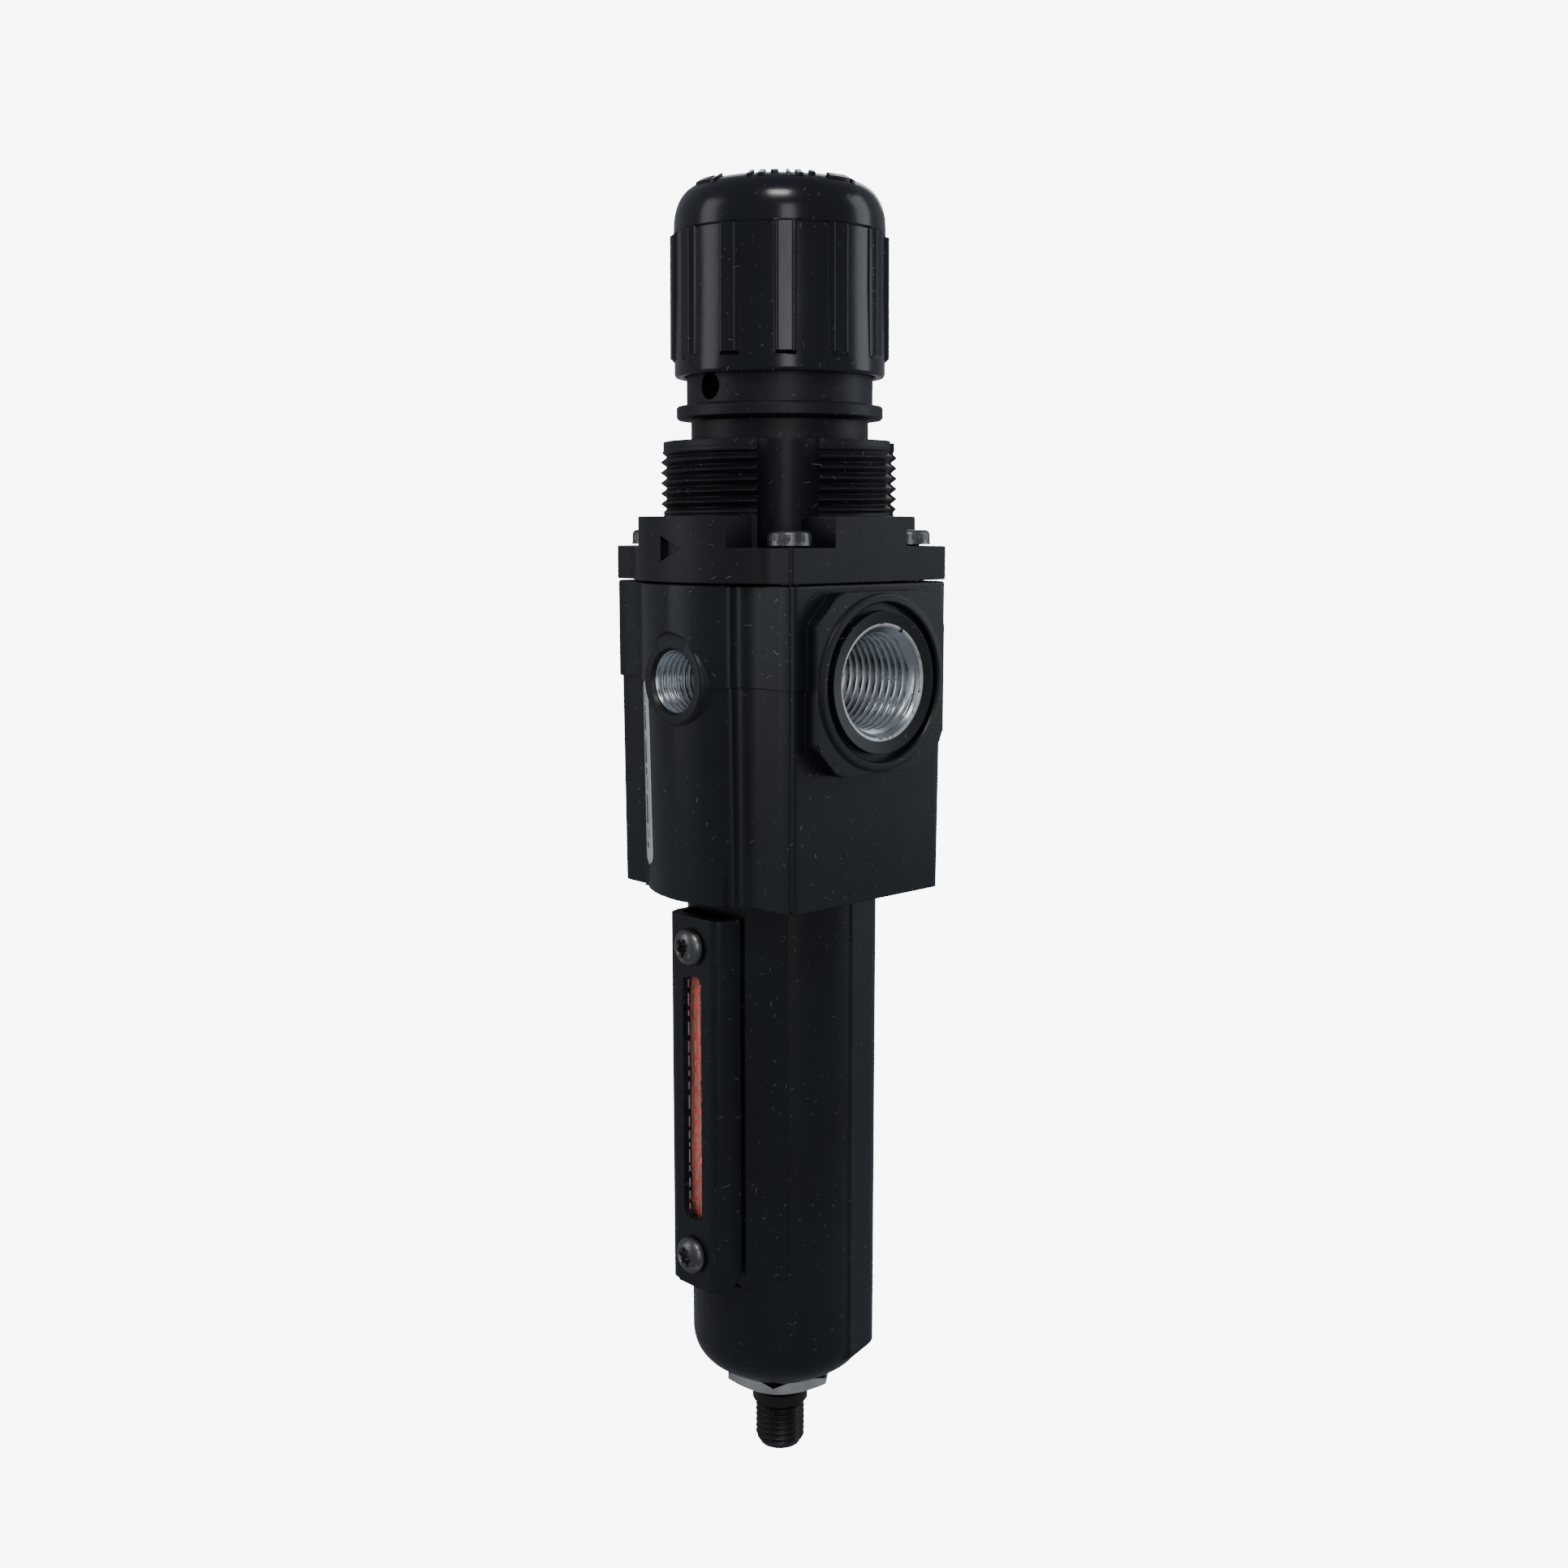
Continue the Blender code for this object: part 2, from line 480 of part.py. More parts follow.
# ================================================================ sight glass
def rounded(half_x, z0, z1, r, n=4):
    """Rounded rectangle in X and Z."""
    pts = []
    for cx, cz, a0 in ((half_x - r, z1 - r, 0), (-half_x + r, z1 - r, 90), (-half_x + r, z0 + r, 180), (half_x - r, z0 + r, 270)):
        for k in range(n + 1):
            a = math.radians(a0 + 90 * k / n)
            pts.append((cx + r * math.cos(a), cz + r * math.sin(a)))
    return pts


def circle(x, z, r, n=20):
    return [(x + r * math.cos(math.tau * k / n), z + r * math.sin(math.tau * k / n)) for k in range(n)]


TO_FRONT = Matrix.Rotation(math.radians(90), 4, "X")     # a plate's thickness then runs along -Y

lens_gasket = flat_shape("lens_gasket", [rounded(5.6, -122.0, -49.2, 1.5), rounded(2.3, -111.6, -58.8, 1.0),
                                         circle(0, GLASS_SCREW_Z[0], 3.65), circle(0, GLASS_SCREW_Z[1], 3.65)],
                         PAD_Y + GAP, PAD_Y + 0.8, to_axis=TO_FRONT)
paint(lens_gasket, ORANGE_RUBBER)
lens = flat_shape("lens", [rounded(5.4, -113.4, -58.0, 1.0)], PAD_Y + 1.1, 22.1, to_axis=TO_FRONT)
paint(lens, CLEAR)

lens_cover = flat_shape("lens_cover", [rounded(COVER_HALF, COVER_Z0, COVER_Z1, 0.4, 1)], PAD_Y + GAP, COVER_Y, to_axis=TO_FRONT)
bev = lens_cover.modifiers.new("front_edges", "BEVEL")
bev.limit_method = "WEIGHT"
weights = lens_cover.data.attributes.new("bevel_weight_edge", "FLOAT", "EDGE")
for e in lens_cover.data.edges:
    a, b = (lens_cover.data.vertices[i].co for i in e.vertices)
    front = a.y < -0.0243 and b.y < -0.0243
    if front and abs(a.x - b.x) < 0.0005 and abs(a.x) > 0.0076 and abs(b.x) > 0.0076:
        weights.data[e.index].value = 1.0
bev.width = 2.4 * MM
bev.segments = 3
cut(
    lens_cover,
    box("cover_channel", (-5.9, -22.4, -122.6), (5.9, -16.0, -40.0)),
    flat_shape("cover_slot", [rounded(2.75, -110.7, -59.6, 1.2)], 18.0, 27.0, tool=True, to_axis=TO_FRONT),
    *[rod(f"cover_hole_{i}", 2.3, -27.0, -20.0, axis="Y", at=(0, 0, gz), sides=16) for i, gz in enumerate(GLASS_SCREW_Z, 1)],
)
paint(lens_cover, BLACK_PAINT)

for label, gz in (("upper", GLASS_SCREW_Z[0]), ("lower", GLASS_SCREW_Z[1])):
    screw = turned(f"lens_cover_screw_{label}", [(0, 25.7), (1.5, 25.7), (1.5, 26.6), (2.4, 26.6), (3.3, 26.1), (3.85, 25.2), (3.85, 24.7), (1.9, 24.7),
                                                (1.9, 18.3), (1.5, 17.9), (0, 17.9)], steps=24)
    screw.rotation_euler = (math.radians(90), 0, 0)
    screw.location = (0, 0, gz * MM)
    paint(screw, DARK_STEEL)

# ================================================================ drain
drain_body = turned("drain_body", [(1.3, -112.0), (2.9, -112.0), (3.2, -113.0), (3.2, -142.5), (9.0, -142.5), (9.0, -145.0), (5.95, -145.0), (5.95, -158.0),
                                   (5.25, -158.2), (5.25, -166.8), (4.9, DRAIN_BOTTOM), (3.0, DRAIN_BOTTOM), (3.0, -165.4), (1.3, -164.4)],
                    steps=28, closed=True)
paint(drain_body, BLACK_PLASTIC)
drain_seal = turned("drain_seal", [(9.2, -145.3), (9.2, -146.3), (6.6, -146.3), (6.6, -145.3)], steps=28, closed=True)
paint(drain_seal, RUBBER)
drain_nut = rod("drain_nut", 12.15, -152.0, BOWL_FOOT - GAP, sides=6, turn=10.0, tool=False)
cut(drain_nut, rod("nut_bore", 6.3, -153.0, -148.0, sides=28))
paint(drain_nut, ZINC)
drain_float = turned("drain_float", [(12.4, -120.0), (12.4, -141.5), (3.7, -141.5), (3.7, -120.0)], steps=32, closed=True)
paint(drain_float, WHITE_PLASTIC)

# ================================================================ plug in the rear gauge port
rear_gauge_plug = rod("rear_gauge_plug", 5.38, 17.5, 28.4, axis="Y", sides=24, tool=False)
cut(rear_gauge_plug, rod("plug_socket", 3.4, 23.5, 29.5, axis="Y", sides=6))
paint(rear_gauge_plug, DARK_STEEL)

for obj in PARTS.objects:
    if obj.type == "MESH" and len(obj.data.polygons):
        smooth(obj)
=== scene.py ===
import math
import bmesh
import bpy
from mathutils import Matrix, Vector


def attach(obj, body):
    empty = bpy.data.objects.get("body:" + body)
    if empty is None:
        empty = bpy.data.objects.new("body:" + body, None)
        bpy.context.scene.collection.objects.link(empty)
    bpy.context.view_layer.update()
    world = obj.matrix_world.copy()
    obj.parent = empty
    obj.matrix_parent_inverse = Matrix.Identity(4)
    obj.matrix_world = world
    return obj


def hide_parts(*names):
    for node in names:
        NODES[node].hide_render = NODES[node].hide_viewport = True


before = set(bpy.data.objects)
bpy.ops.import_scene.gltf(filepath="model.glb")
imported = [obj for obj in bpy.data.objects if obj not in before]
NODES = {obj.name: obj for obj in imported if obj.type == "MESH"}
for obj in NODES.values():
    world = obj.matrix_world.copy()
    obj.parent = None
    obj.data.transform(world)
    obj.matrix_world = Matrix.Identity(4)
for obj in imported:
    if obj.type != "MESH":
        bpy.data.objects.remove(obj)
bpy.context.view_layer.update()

MM = 0.001

# =====================================================================  camera
cam_data = bpy.data.cameras.new("camera")
cam_data.lens = 41.46
cam_data.sensor_width = 36.0
cam_data.clip_start = 0.01
cam_data.clip_end = 20.0
cam = bpy.data.objects.new("camera", cam_data)
bpy.context.scene.collection.objects.link(cam)
cam.location = (0.26943, -0.25357, 0.0313)
cam.rotation_euler = (math.radians(90 - 8.34), 0.0, math.radians(46.604))
bpy.context.scene.camera = cam


# =====================================================================  materials
def nodes_of(name):
    mat = bpy.data.materials.new(name)
    mat.use_nodes = True
    tree = mat.node_tree
    return mat, tree, tree.nodes["Principled BSDF"]


def add(tree, kind, **values):
    node = tree.nodes.new(kind)
    for key, value in values.items():
        if key in node.inputs:
            node.inputs[key].default_value = value
        else:
            setattr(node, key, value)
    return node


def ramp(tree, source, stops):
    node = tree.nodes.new("ShaderNodeValToRGB")
    while len(node.color_ramp.elements) > len(stops):
        node.color_ramp.elements.remove(node.color_ramp.elements[-1])
    while len(node.color_ramp.elements) < len(stops):
        node.color_ramp.elements.new(0.5)
    for element, (pos, col) in zip(node.color_ramp.elements, stops):
        element.position = pos
        element.color = (*col, 1.0) if isinstance(col, tuple) else (col, col, col, 1.0)
    tree.links.new(source, node.inputs["Fac"])
    return node.outputs["Color"]


def math_node(tree, op, a, b):
    node = tree.nodes.new("ShaderNodeMath")
    node.operation = op
    for i, v in enumerate((a, b)):
        if isinstance(v, (int, float)):
            node.inputs[i].default_value = v
        else:
            tree.links.new(v, node.inputs[i])
    return node.outputs[0]


def mix_colour(tree, fac, a, b):
    node = tree.nodes.new("ShaderNodeMix")
    node.data_type = "RGBA"
    tree.links.new(fac, node.inputs["Factor"])
    for socket, v in ((node.inputs["A"], a), (node.inputs["B"], b)):
        if isinstance(v, tuple):
            socket.default_value = (*v, 1.0)
        else:
            tree.links.new(v, socket)
    return node.outputs["Result"]


def mapped(tree, scale=(1, 1, 1), rotation=(0, 0, 0)):
    coord = tree.nodes.new("ShaderNodeTexCoord")
    node = tree.nodes.new("ShaderNodeMapping")
    node.inputs["Scale"].default_value = scale
    node.inputs["Rotation"].default_value = rotation
    tree.links.new(coord.outputs["Object"], node.inputs["Vector"])
    return node.outputs["Vector"]


def noise(tree, vector, scale, detail=3.0, rough=0.5):
    node = add(tree, "ShaderNodeTexNoise", Scale=scale, Detail=detail, Roughness=rough)
    tree.links.new(vector, node.inputs["Vector"])
    return node.outputs["Fac"]


def lint_mask(tree, seedling, cell, length, width, share):
    """Short fibres and specks of dust. The surface is unrolled round the upright axis into millimetre-true strips, and
    each Voronoi cell of it holds one short curling stroke of its own direction, in a share of the cells."""
    coord = tree.nodes.new("ShaderNodeTexCoord")
    apart = tree.nodes.new("ShaderNodeSeparateXYZ")
    tree.links.new(coord.outputs["Object"], apart.inputs[0])
    turn = math_node(tree, "ARCTAN2", apart.outputs["Y"], apart.outputs["X"])
    flat = tree.nodes.new("ShaderNodeCombineXYZ")
    tree.links.new(math_node(tree, "MULTIPLY", turn, 0.022), flat.inputs["X"])
    tree.links.new(apart.outputs["Z"], flat.inputs["Y"])
    off = tree.nodes.new("ShaderNodeVectorMath")
    off.operation = "ADD"
    tree.links.new(flat.outputs[0], off.inputs[0])
    off.inputs[1].default_value = (seedling, seedling * 0.37, 0.0)
    warp = add(tree, "ShaderNodeTexNoise", Scale=520.0, Detail=0.0)
    tree.links.new(off.outputs[0], warp.inputs["Vector"])
    shift = tree.nodes.new("ShaderNodeVectorMath")
    shift.operation = "MULTIPLY_ADD"
    tree.links.new(warp.outputs["Color"], shift.inputs[0])
    shift.inputs[1].default_value = (0.0011, 0.0011, 0.0)
    tree.links.new(off.outputs[0], shift.inputs[2])
    vor = add(tree, "ShaderNodeTexVoronoi", Scale=cell)
    vor.voronoi_dimensions = "2D"
    tree.links.new(shift.outputs[0], vor.inputs["Vector"])
    flatten = tree.nodes.new("ShaderNodeVectorMath")
    flatten.operation = "MULTIPLY"
    tree.links.new(shift.outputs[0], flatten.inputs[0])
    flatten.inputs[1].default_value = (1.0, 1.0, 0.0)
    scaled = tree.nodes.new("ShaderNodeVectorMath")
    scaled.operation = "SUBTRACT"
    tree.links.new(flatten.outputs[0], scaled.inputs[0])
    tree.links.new(vor.outputs["Position"], scaled.inputs[1])
    centre = tree.nodes.new("ShaderNodeVectorMath")
    centre.operation = "SUBTRACT"
    tree.links.new(vor.outputs["Color"], centre.inputs[0])
    centre.inputs[1].default_value = (0.5, 0.5, 0.5)
    level = tree.nodes.new("ShaderNodeVectorMath")
    level.operation = "MULTIPLY"
    tree.links.new(centre.outputs[0], level.inputs[0])
    level.inputs[1].default_value = (1.0, 1.0, 0.0)
    unit = tree.nodes.new("ShaderNodeVectorMath")
    unit.operation = "NORMALIZE"
    tree.links.new(level.outputs[0], unit.inputs[0])
    along = tree.nodes.new("ShaderNodeVectorMath")
    along.operation = "DOT_PRODUCT"
    tree.links.new(scaled.outputs[0], along.inputs[0])
    tree.links.new(unit.outputs[0], along.inputs[1])
    cross = tree.nodes.new("ShaderNodeVectorMath")
    cross.operation = "CROSS_PRODUCT"
    tree.links.new(scaled.outputs[0], cross.inputs[0])
    tree.links.new(unit.outputs[0], cross.inputs[1])
    aside = tree.nodes.new("ShaderNodeVectorMath")
    aside.operation = "LENGTH"
    tree.links.new(cross.outputs[0], aside.inputs[0])
    near = math_node(tree, "LESS_THAN", aside.outputs["Value"], width)
    short = math_node(tree, "LESS_THAN", math_node(tree, "ABSOLUTE", along.outputs["Value"], 0.0), length)
    sep = tree.nodes.new("ShaderNodeSeparateColor")
    tree.links.new(vor.outputs["Color"], sep.inputs["Color"])
    chosen = math_node(tree, "LESS_THAN", sep.outputs["Blue"], share)
    return math_node(tree, "MULTIPLY", math_node(tree, "MULTIPLY", near, short), chosen)


def finish_surface(mat, tree, shader, base, rough, spread, bump_scale, bump_height, dust=0.0, edge_wear=None, speck_colour=(0.42, 0.43, 0.43), tint=None):
    """Colour that varies a little, roughness that varies, a fine bump, and dust on top."""
    vec = mapped(tree)
    slow = noise(tree, vec, 38.0, 3.0)
    dark = tuple(c * 0.82 for c in base)
    light = tuple(min(1.0, c * 1.22 + 0.001) for c in (tint or base))
    colour = ramp(tree, slow, [(0.35, dark), (0.68, light)])
    smudge = noise(tree, mapped(tree, (1, 1, 0.45), (0.2, 0.1, 0.4)), 120.0, 5.0, 0.62)
    rough_value = math_node(tree, "ADD", rough - spread / 2, math_node(tree, "MULTIPLY", smudge, spread))
    if dust:
        long_fibres = lint_mask(tree, 0.9, 300.0, 0.00044, 0.000052, 0.30 * dust)
        short_bits = lint_mask(tree, 2.3, 620.0, 0.00012, 0.00006, 0.18 * dust)
        patch = ramp(tree, noise(tree, vec, 55.0, 2.0), [(0.42, 0.20), (0.60, 1.0)])
        mask = math_node(tree, "MAXIMUM", long_fibres, short_bits)
        mask = math_node(tree, "MULTIPLY", mask, patch)
        colour = mix_colour(tree, math_node(tree, "MULTIPLY", mask, 0.46), colour, speck_colour)
        rough_value = math_node(tree, "MAXIMUM", rough_value, math_node(tree, "MULTIPLY", mask, 0.8))
    tree.links.new(colour, shader.inputs["Base Color"])
    tree.links.new(rough_value, shader.inputs["Roughness"])
    fine = noise(tree, vec, bump_scale, 4.0, 0.6)
    bump = add(tree, "ShaderNodeBump", Strength=1.0, Distance=bump_height)
    tree.links.new(fine, bump.inputs["Height"])
    tree.links.new(bump.outputs["Normal"], shader.inputs["Normal"])
    return mat


def black_paint():
    mat, tree, shader = nodes_of("satin_black_paint")
    shader.inputs["Specular IOR Level"].default_value = 0.42
    shader.inputs["Coat Weight"].default_value = 0.0
    return finish_surface(mat, tree, shader, (0.0052, 0.0072, 0.0108), 0.36, 0.16, 1500.0, 0.000022, dust=0.8, tint=(0.0056, 0.0086, 0.0108))


def moulded_black(name="moulded_black", rough=0.46, base=(0.0052, 0.0058, 0.0105), dust=0.9, bump=0.00003):
    mat, tree, shader = nodes_of(name)
    shader.inputs["Specular IOR Level"].default_value = 0.42
    return finish_surface(mat, tree, shader, base, rough, 0.18, 1100.0, bump, dust=dust)


def knob_black():
    mat, tree, shader = nodes_of("knob_plastic_polished")
    shader.inputs["Specular IOR Level"].default_value = 0.5
    return finish_surface(mat, tree, shader, (0.0045, 0.0060, 0.0110), 0.20, 0.20, 900.0, 0.000010, dust=1.0)


def metal(name, base, rough, spread, bump_scale=900.0, bump_height=0.000012, stretch=None, spots=None):
    mat, tree, shader = nodes_of(name)
    shader.inputs["Metallic"].default_value = 1.0
    vec = mapped(tree, stretch or (1, 1, 1))
    slow = noise(tree, mapped(tree), 160.0, 5.0, 0.6)
    dark = tuple(c * 0.70 for c in base)
    colour = ramp(tree, slow, [(0.36, dark), (0.64, base)])
    if spots:
        grime = ramp(tree, noise(tree, mapped(tree), 420.0, 6.0, 0.7), [(0.56, 0.0), (0.64, 1.0)])
        colour = mix_colour(tree, grime, colour, spots)
    tree.links.new(colour, shader.inputs["Base Color"])
    smudge = noise(tree, vec, 520.0, 4.0, 0.6)
    tree.links.new(math_node(tree, "ADD", rough - spread / 2, math_node(tree, "MULTIPLY", smudge, spread)), shader.inputs["Roughness"])
    fine = noise(tree, vec, bump_scale, 4.0, 0.6)
    bump = add(tree, "ShaderNodeBump", Strength=1.0, Distance=bump_height)
    tree.links.new(fine, bump.inputs["Height"])
    tree.links.new(bump.outputs["Normal"], shader.inputs["Normal"])
    return mat


def dull(name, base, rough, bump_scale, bump_height, speck=None):
    mat, tree, shader = nodes_of(name)
    vec = mapped(tree)
    slow = noise(tree, vec, 90.0, 4.0)
    colour = ramp(tree, slow, [(0.35, tuple(c * 0.8 for c in base)), (0.65, base)])
    if speck:
        pores = ramp(tree, noise(tree, vec, 1900.0, 3.0), [(0.38, 1.0), (0.46, 0.0)])
        colour = mix_colour(tree, pores, colour, speck)
    tree.links.new(colour, shader.inputs["Base Color"])
    shader.inputs["Roughness"].default_value = rough
    fine = noise(tree, vec, bump_scale, 4.0, 0.6)
    bump = add(tree, "ShaderNodeBump", Strength=1.0, Distance=bump_height)
    tree.links.new(fine, bump.inputs["Height"])
    tree.links.new(bump.outputs["Normal"], shader.inputs["Normal"])
    return mat


def lens_material():
    mat, tree, shader = nodes_of("clear_lens_plastic")
    shader.inputs["Base Color"].default_value = (0.93, 0.95, 0.95, 1.0)
    shader.inputs["Transmission Weight"].default_value = 1.0
    shader.inputs["IOR"].default_value = 1.49
    haze = noise(tree, mapped(tree), 700.0, 4.0)
    tree.links.new(math_node(tree, "ADD", 0.03, math_node(tree, "MULTIPLY", haze, 0.10)), shader.inputs["Roughness"])
    return mat


PAINT = black_paint()
MOULD = moulded_black()
KNOB = knob_black()
RING_GROOVE = moulded_black("groove_rubber", 0.7, (0.005, 0.005, 0.006), 0.5)
THREAD_METAL = metal("cut_thread_metal", (0.56, 0.61, 0.64), 0.30, 0.22, stretch=(1, 1, 1), bump_height=0.000010)
CHIPPED = metal("chipped_thread_mouth", (0.86, 0.88, 0.88), 0.5, 0.2, bump_scale=1400.0, bump_height=0.00020, spots=(0.015, 0.015, 0.018))
NUT_METAL = metal("bright_zinc_nut", (0.80, 0.80, 0.76), 0.24, 0.14, stretch=(1, 1, 6))
SCREW_METAL = metal("dark_steel_screw", (0.20, 0.205, 0.205), 0.36, 0.2, spots=(0.34, 0.35, 0.34))
SPRING_METAL = metal("drawn_spring_wire", (0.46, 0.46, 0.47), 0.30, 0.15, stretch=(1, 1, 5))
ZINC_METAL = metal("zinc_plated_steel", (0.62, 0.63, 0.62), 0.33, 0.16)
BRASS_METAL = metal("turned_brass", (0.72, 0.53, 0.24), 0.30, 0.14, stretch=(1, 1, 8))
ORANGE = dull("orange_red_gasket", (0.48, 0.105, 0.075), 0.55, 900.0, 0.00004)
RUBBER = dull("black_rubber_seal", (0.016, 0.016, 0.016), 0.75, 1200.0, 0.00003)
SINTER = dull("sintered_filter_media", (0.78, 0.77, 0.71), 0.95, 1600.0, 0.00018, speck=(0.42, 0.41, 0.37))
WHITE = dull("white_moulding", (0.74, 0.74, 0.71), 0.5, 900.0, 0.00002)
LABEL = dull("pale_label", (0.86, 0.89, 0.90), 0.5, 1300.0, 0.00001)
LABEL_INK = dull("label_ink", (0.16, 0.17, 0.18), 0.6, 1300.0, 0.00001)
LENS = lens_material()
# pale colour painted as a glint on the glass ridges, and as paint chips with a painted glint on the window's left wall
GLINT = dull("painted_glint_ridge", (0.42, 0.38, 0.37), 0.4, 900.0, 0.00001)


# =====================================================================  mesh helpers (all in millimetres)
def link(obj):
    bpy.context.scene.collection.objects.link(obj)
    return obj


def from_bm(name, bm, smooth=32.0, recalc=True):
    if recalc:
        bmesh.ops.recalc_face_normals(bm, faces=bm.faces)
    mesh = bpy.data.meshes.new(name)
    bm.to_mesh(mesh)
    bm.free()
    obj = link(bpy.data.objects.new(name, mesh))
    if smooth:
        mesh.shade_smooth()
        mesh.set_sharp_from_angle(angle=math.radians(smooth))
    return obj


def soften(points, r, n=3, closed=True, only=None):
    """Rounds the corners of an outline or a profile."""
    out = []
    count = len(points)
    for i, p in enumerate(points):
        if not closed and i in (0, count - 1) or (only is not None and i not in only):
            out.append(p)
            continue
        a, b = points[i - 1], points[(i + 1) % count]
        ua = Vector((a[0] - p[0], a[1] - p[1]))
        ub = Vector((b[0] - p[0], b[1] - p[1]))
        la, lb = ua.length, ub.length
        if la < 1e-6 or lb < 1e-6 or abs(ua.angle(ub) - math.pi) < 0.12:
            out.append(p)
            continue
        d = min(r if not isinstance(r, dict) else r.get(i, 0.0), 0.47 * la, 0.47 * lb)
        if d < 1e-3:
            out.append(p)
            continue
        s, e = Vector(p) + ua / la * d, Vector(p) + ub / lb * d
        for k in range(n + 1):
            t = k / n
            q = s * (1 - t) ** 2 + Vector(p) * 2 * t * (1 - t) + e * t ** 2
            out.append((q.x, q.y))
    return out


def lathe(name, profile, steps=96, closed=False, matrix=None, smooth=32.0):
    bm = bmesh.new()
    rings = []
    for r, z in profile:
        if r < 1e-6:
            rings.append([bm.verts.new((0, 0, z * MM))])
        else:
            rings.append([bm.verts.new((r * MM * math.cos(math.tau * k / steps), r * MM * math.sin(math.tau * k / steps), z * MM)) for k in range(steps)])
    pairs = list(zip(rings[:-1], rings[1:]))
    if closed:
        pairs.append((rings[-1], rings[0]))
    for a, b in pairs:
        for k in range(steps):
            j = (k + 1) % steps
            if len(a) == 1 and len(b) == 1:
                continue
            if len(a) == 1:
                bm.faces.new((a[0], b[j], b[k]))
            elif len(b) == 1:
                bm.faces.new((a[k], a[j], b[0]))
            else:
                bm.faces.new((a[k], a[j], b[j], b[k]))
    if matrix is not None:
        bmesh.ops.transform(bm, matrix=matrix, verts=bm.verts)
    return from_bm(name, bm, smooth)


def prism(name, outline, z0, z1, top=0.0, bottom=0.0, segments=3, matrix=None, shape=None, levels=1, smooth=32.0):
    """An outline raised from z0 to z1, with rounded rims, and an optional change of shape with height."""
    bm = bmesh.new()
    rows = []
    for s in range(levels + 1):
        z = z0 + (z1 - z0) * s / levels
        row = []
        for x, y in outline:
            if shape:
                x2, y2 = shape(x, y, z)
            else:
                x2, y2 = x, y
            row.append(bm.verts.new((x2 * MM, y2 * MM, z * MM)))
        rows.append(row)
    n = len(outline)
    for a, b in zip(rows[:-1], rows[1:]):
        for k in range(n):
            bm.faces.new((a[k], a[(k + 1) % n], b[(k + 1) % n], b[k]))
    low = bm.faces.new(list(reversed(rows[0])))
    high = bm.faces.new(rows[-1])
    if bottom:
        bmesh.ops.bevel(bm, geom=list(low.edges), offset=bottom * MM, segments=segments, profile=0.5, affect="EDGES")
    if top:
        high = max(bm.faces, key=lambda f: (round(f.calc_center_median().z, 7), f.calc_area()))
        bmesh.ops.bevel(bm, geom=list(high.edges), offset=top * MM, segments=segments, profile=0.5, affect="EDGES")
    bmesh.ops.remove_doubles(bm, verts=bm.verts, dist=0.000002)
    if matrix is not None:
        bmesh.ops.transform(bm, matrix=matrix, verts=bm.verts)
    return from_bm(name, bm, smooth)


def cylinder(name, r, start, stop, axis="Z", at=(0, 0, 0), steps=64, r2=None):
    r2 = r if r2 is None else r2
    turn = {"Z": Matrix.Identity(4), "X": Matrix.Rotation(math.radians(90), 4, "Y"), "Y": Matrix.Rotation(math.radians(-90), 4, "X")}[axis]
    return lathe(name, [(0, stop), (r2, stop), (r, start), (0, start)], steps, matrix=Matrix.Translation(Vector(at) * MM) @ turn @ Matrix.Rotation(0.037, 4, "Z"))


def block(name, low, high, smooth=0.0):
    bm = bmesh.new()
    bmesh.ops.create_cube(bm, size=1.0)
    low, high = Vector(low) * MM, Vector(high) * MM
    for v in bm.verts:
        v.co = Vector(a * b for a, b in zip(v.co, high - low)) + (low + high) / 2
    return from_bm(name, bm, smooth)


def helix_wall(name, radius_at, z0, z1, pitch, other, steps=96, per_pitch=12, hand=1, matrix=None, smooth=50.0):
    """A threaded wall: radius_at(phase, z) is the thread's radius. other is the plain radius of the wall's far side, or 0
    for a solid."""
    bm = bmesh.new()
    rows = int(round((z1 - z0) / pitch * per_pitch))
    grid = []
    for k in range(rows + 1):
        z = z0 + (z1 - z0) * k / rows
        ring = []
        for j in range(steps):
            a = math.tau * j / steps
            r = radius_at(((z - z0) / pitch - hand * j / steps) % 1.0, z)
            ring.append(bm.verts.new((r * MM * math.cos(a), r * MM * math.sin(a), z * MM)))
        grid.append(ring)
    for a, b in zip(grid[:-1], grid[1:]):
        for j in range(steps):
            n = (j + 1) % steps
            bm.faces.new((a[j], a[n], b[n], b[j]))
    ends = []
    for z, ring in ((z0, grid[0]), (z1, grid[-1])):
        if other:
            far = [bm.verts.new((other * MM * math.cos(math.tau * j / steps), other * MM * math.sin(math.tau * j / steps), z * MM)) for j in range(steps)]
            for j in range(steps):
                n = (j + 1) % steps
                bm.faces.new((ring[j], ring[n], far[n], far[j]))
            ends.append(far)
        else:
            hub = bm.verts.new((0, 0, z * MM))
            for j in range(steps):
                bm.faces.new((ring[j], ring[(j + 1) % steps], hub))
    if other:
        for j in range(steps):
            n = (j + 1) % steps
            bm.faces.new((ends[0][j], ends[0][n], ends[1][n], ends[1][j]))
    if matrix is not None:
        bmesh.ops.transform(bm, matrix=matrix, verts=bm.verts)
    return from_bm(name, bm, smooth)


def carve(obj, how, tools, smooth=32.0, keep=False):
    for t in tools:
        mod = obj.modifiers.new("b", "BOOLEAN")
        mod.operation = how
        mod.solver = "EXACT"
        mod.object = t
    bpy.context.view_layer.update()
    mesh = bpy.data.meshes.new_from_object(obj.evaluated_get(bpy.context.evaluated_depsgraph_get()))
    obj.modifiers.clear()
    obj.data = mesh
    if not keep:
        for t in tools:
            bpy.data.objects.remove(t)
    mesh.shade_smooth()
    mesh.set_sharp_from_angle(angle=math.radians(smooth))
    return obj


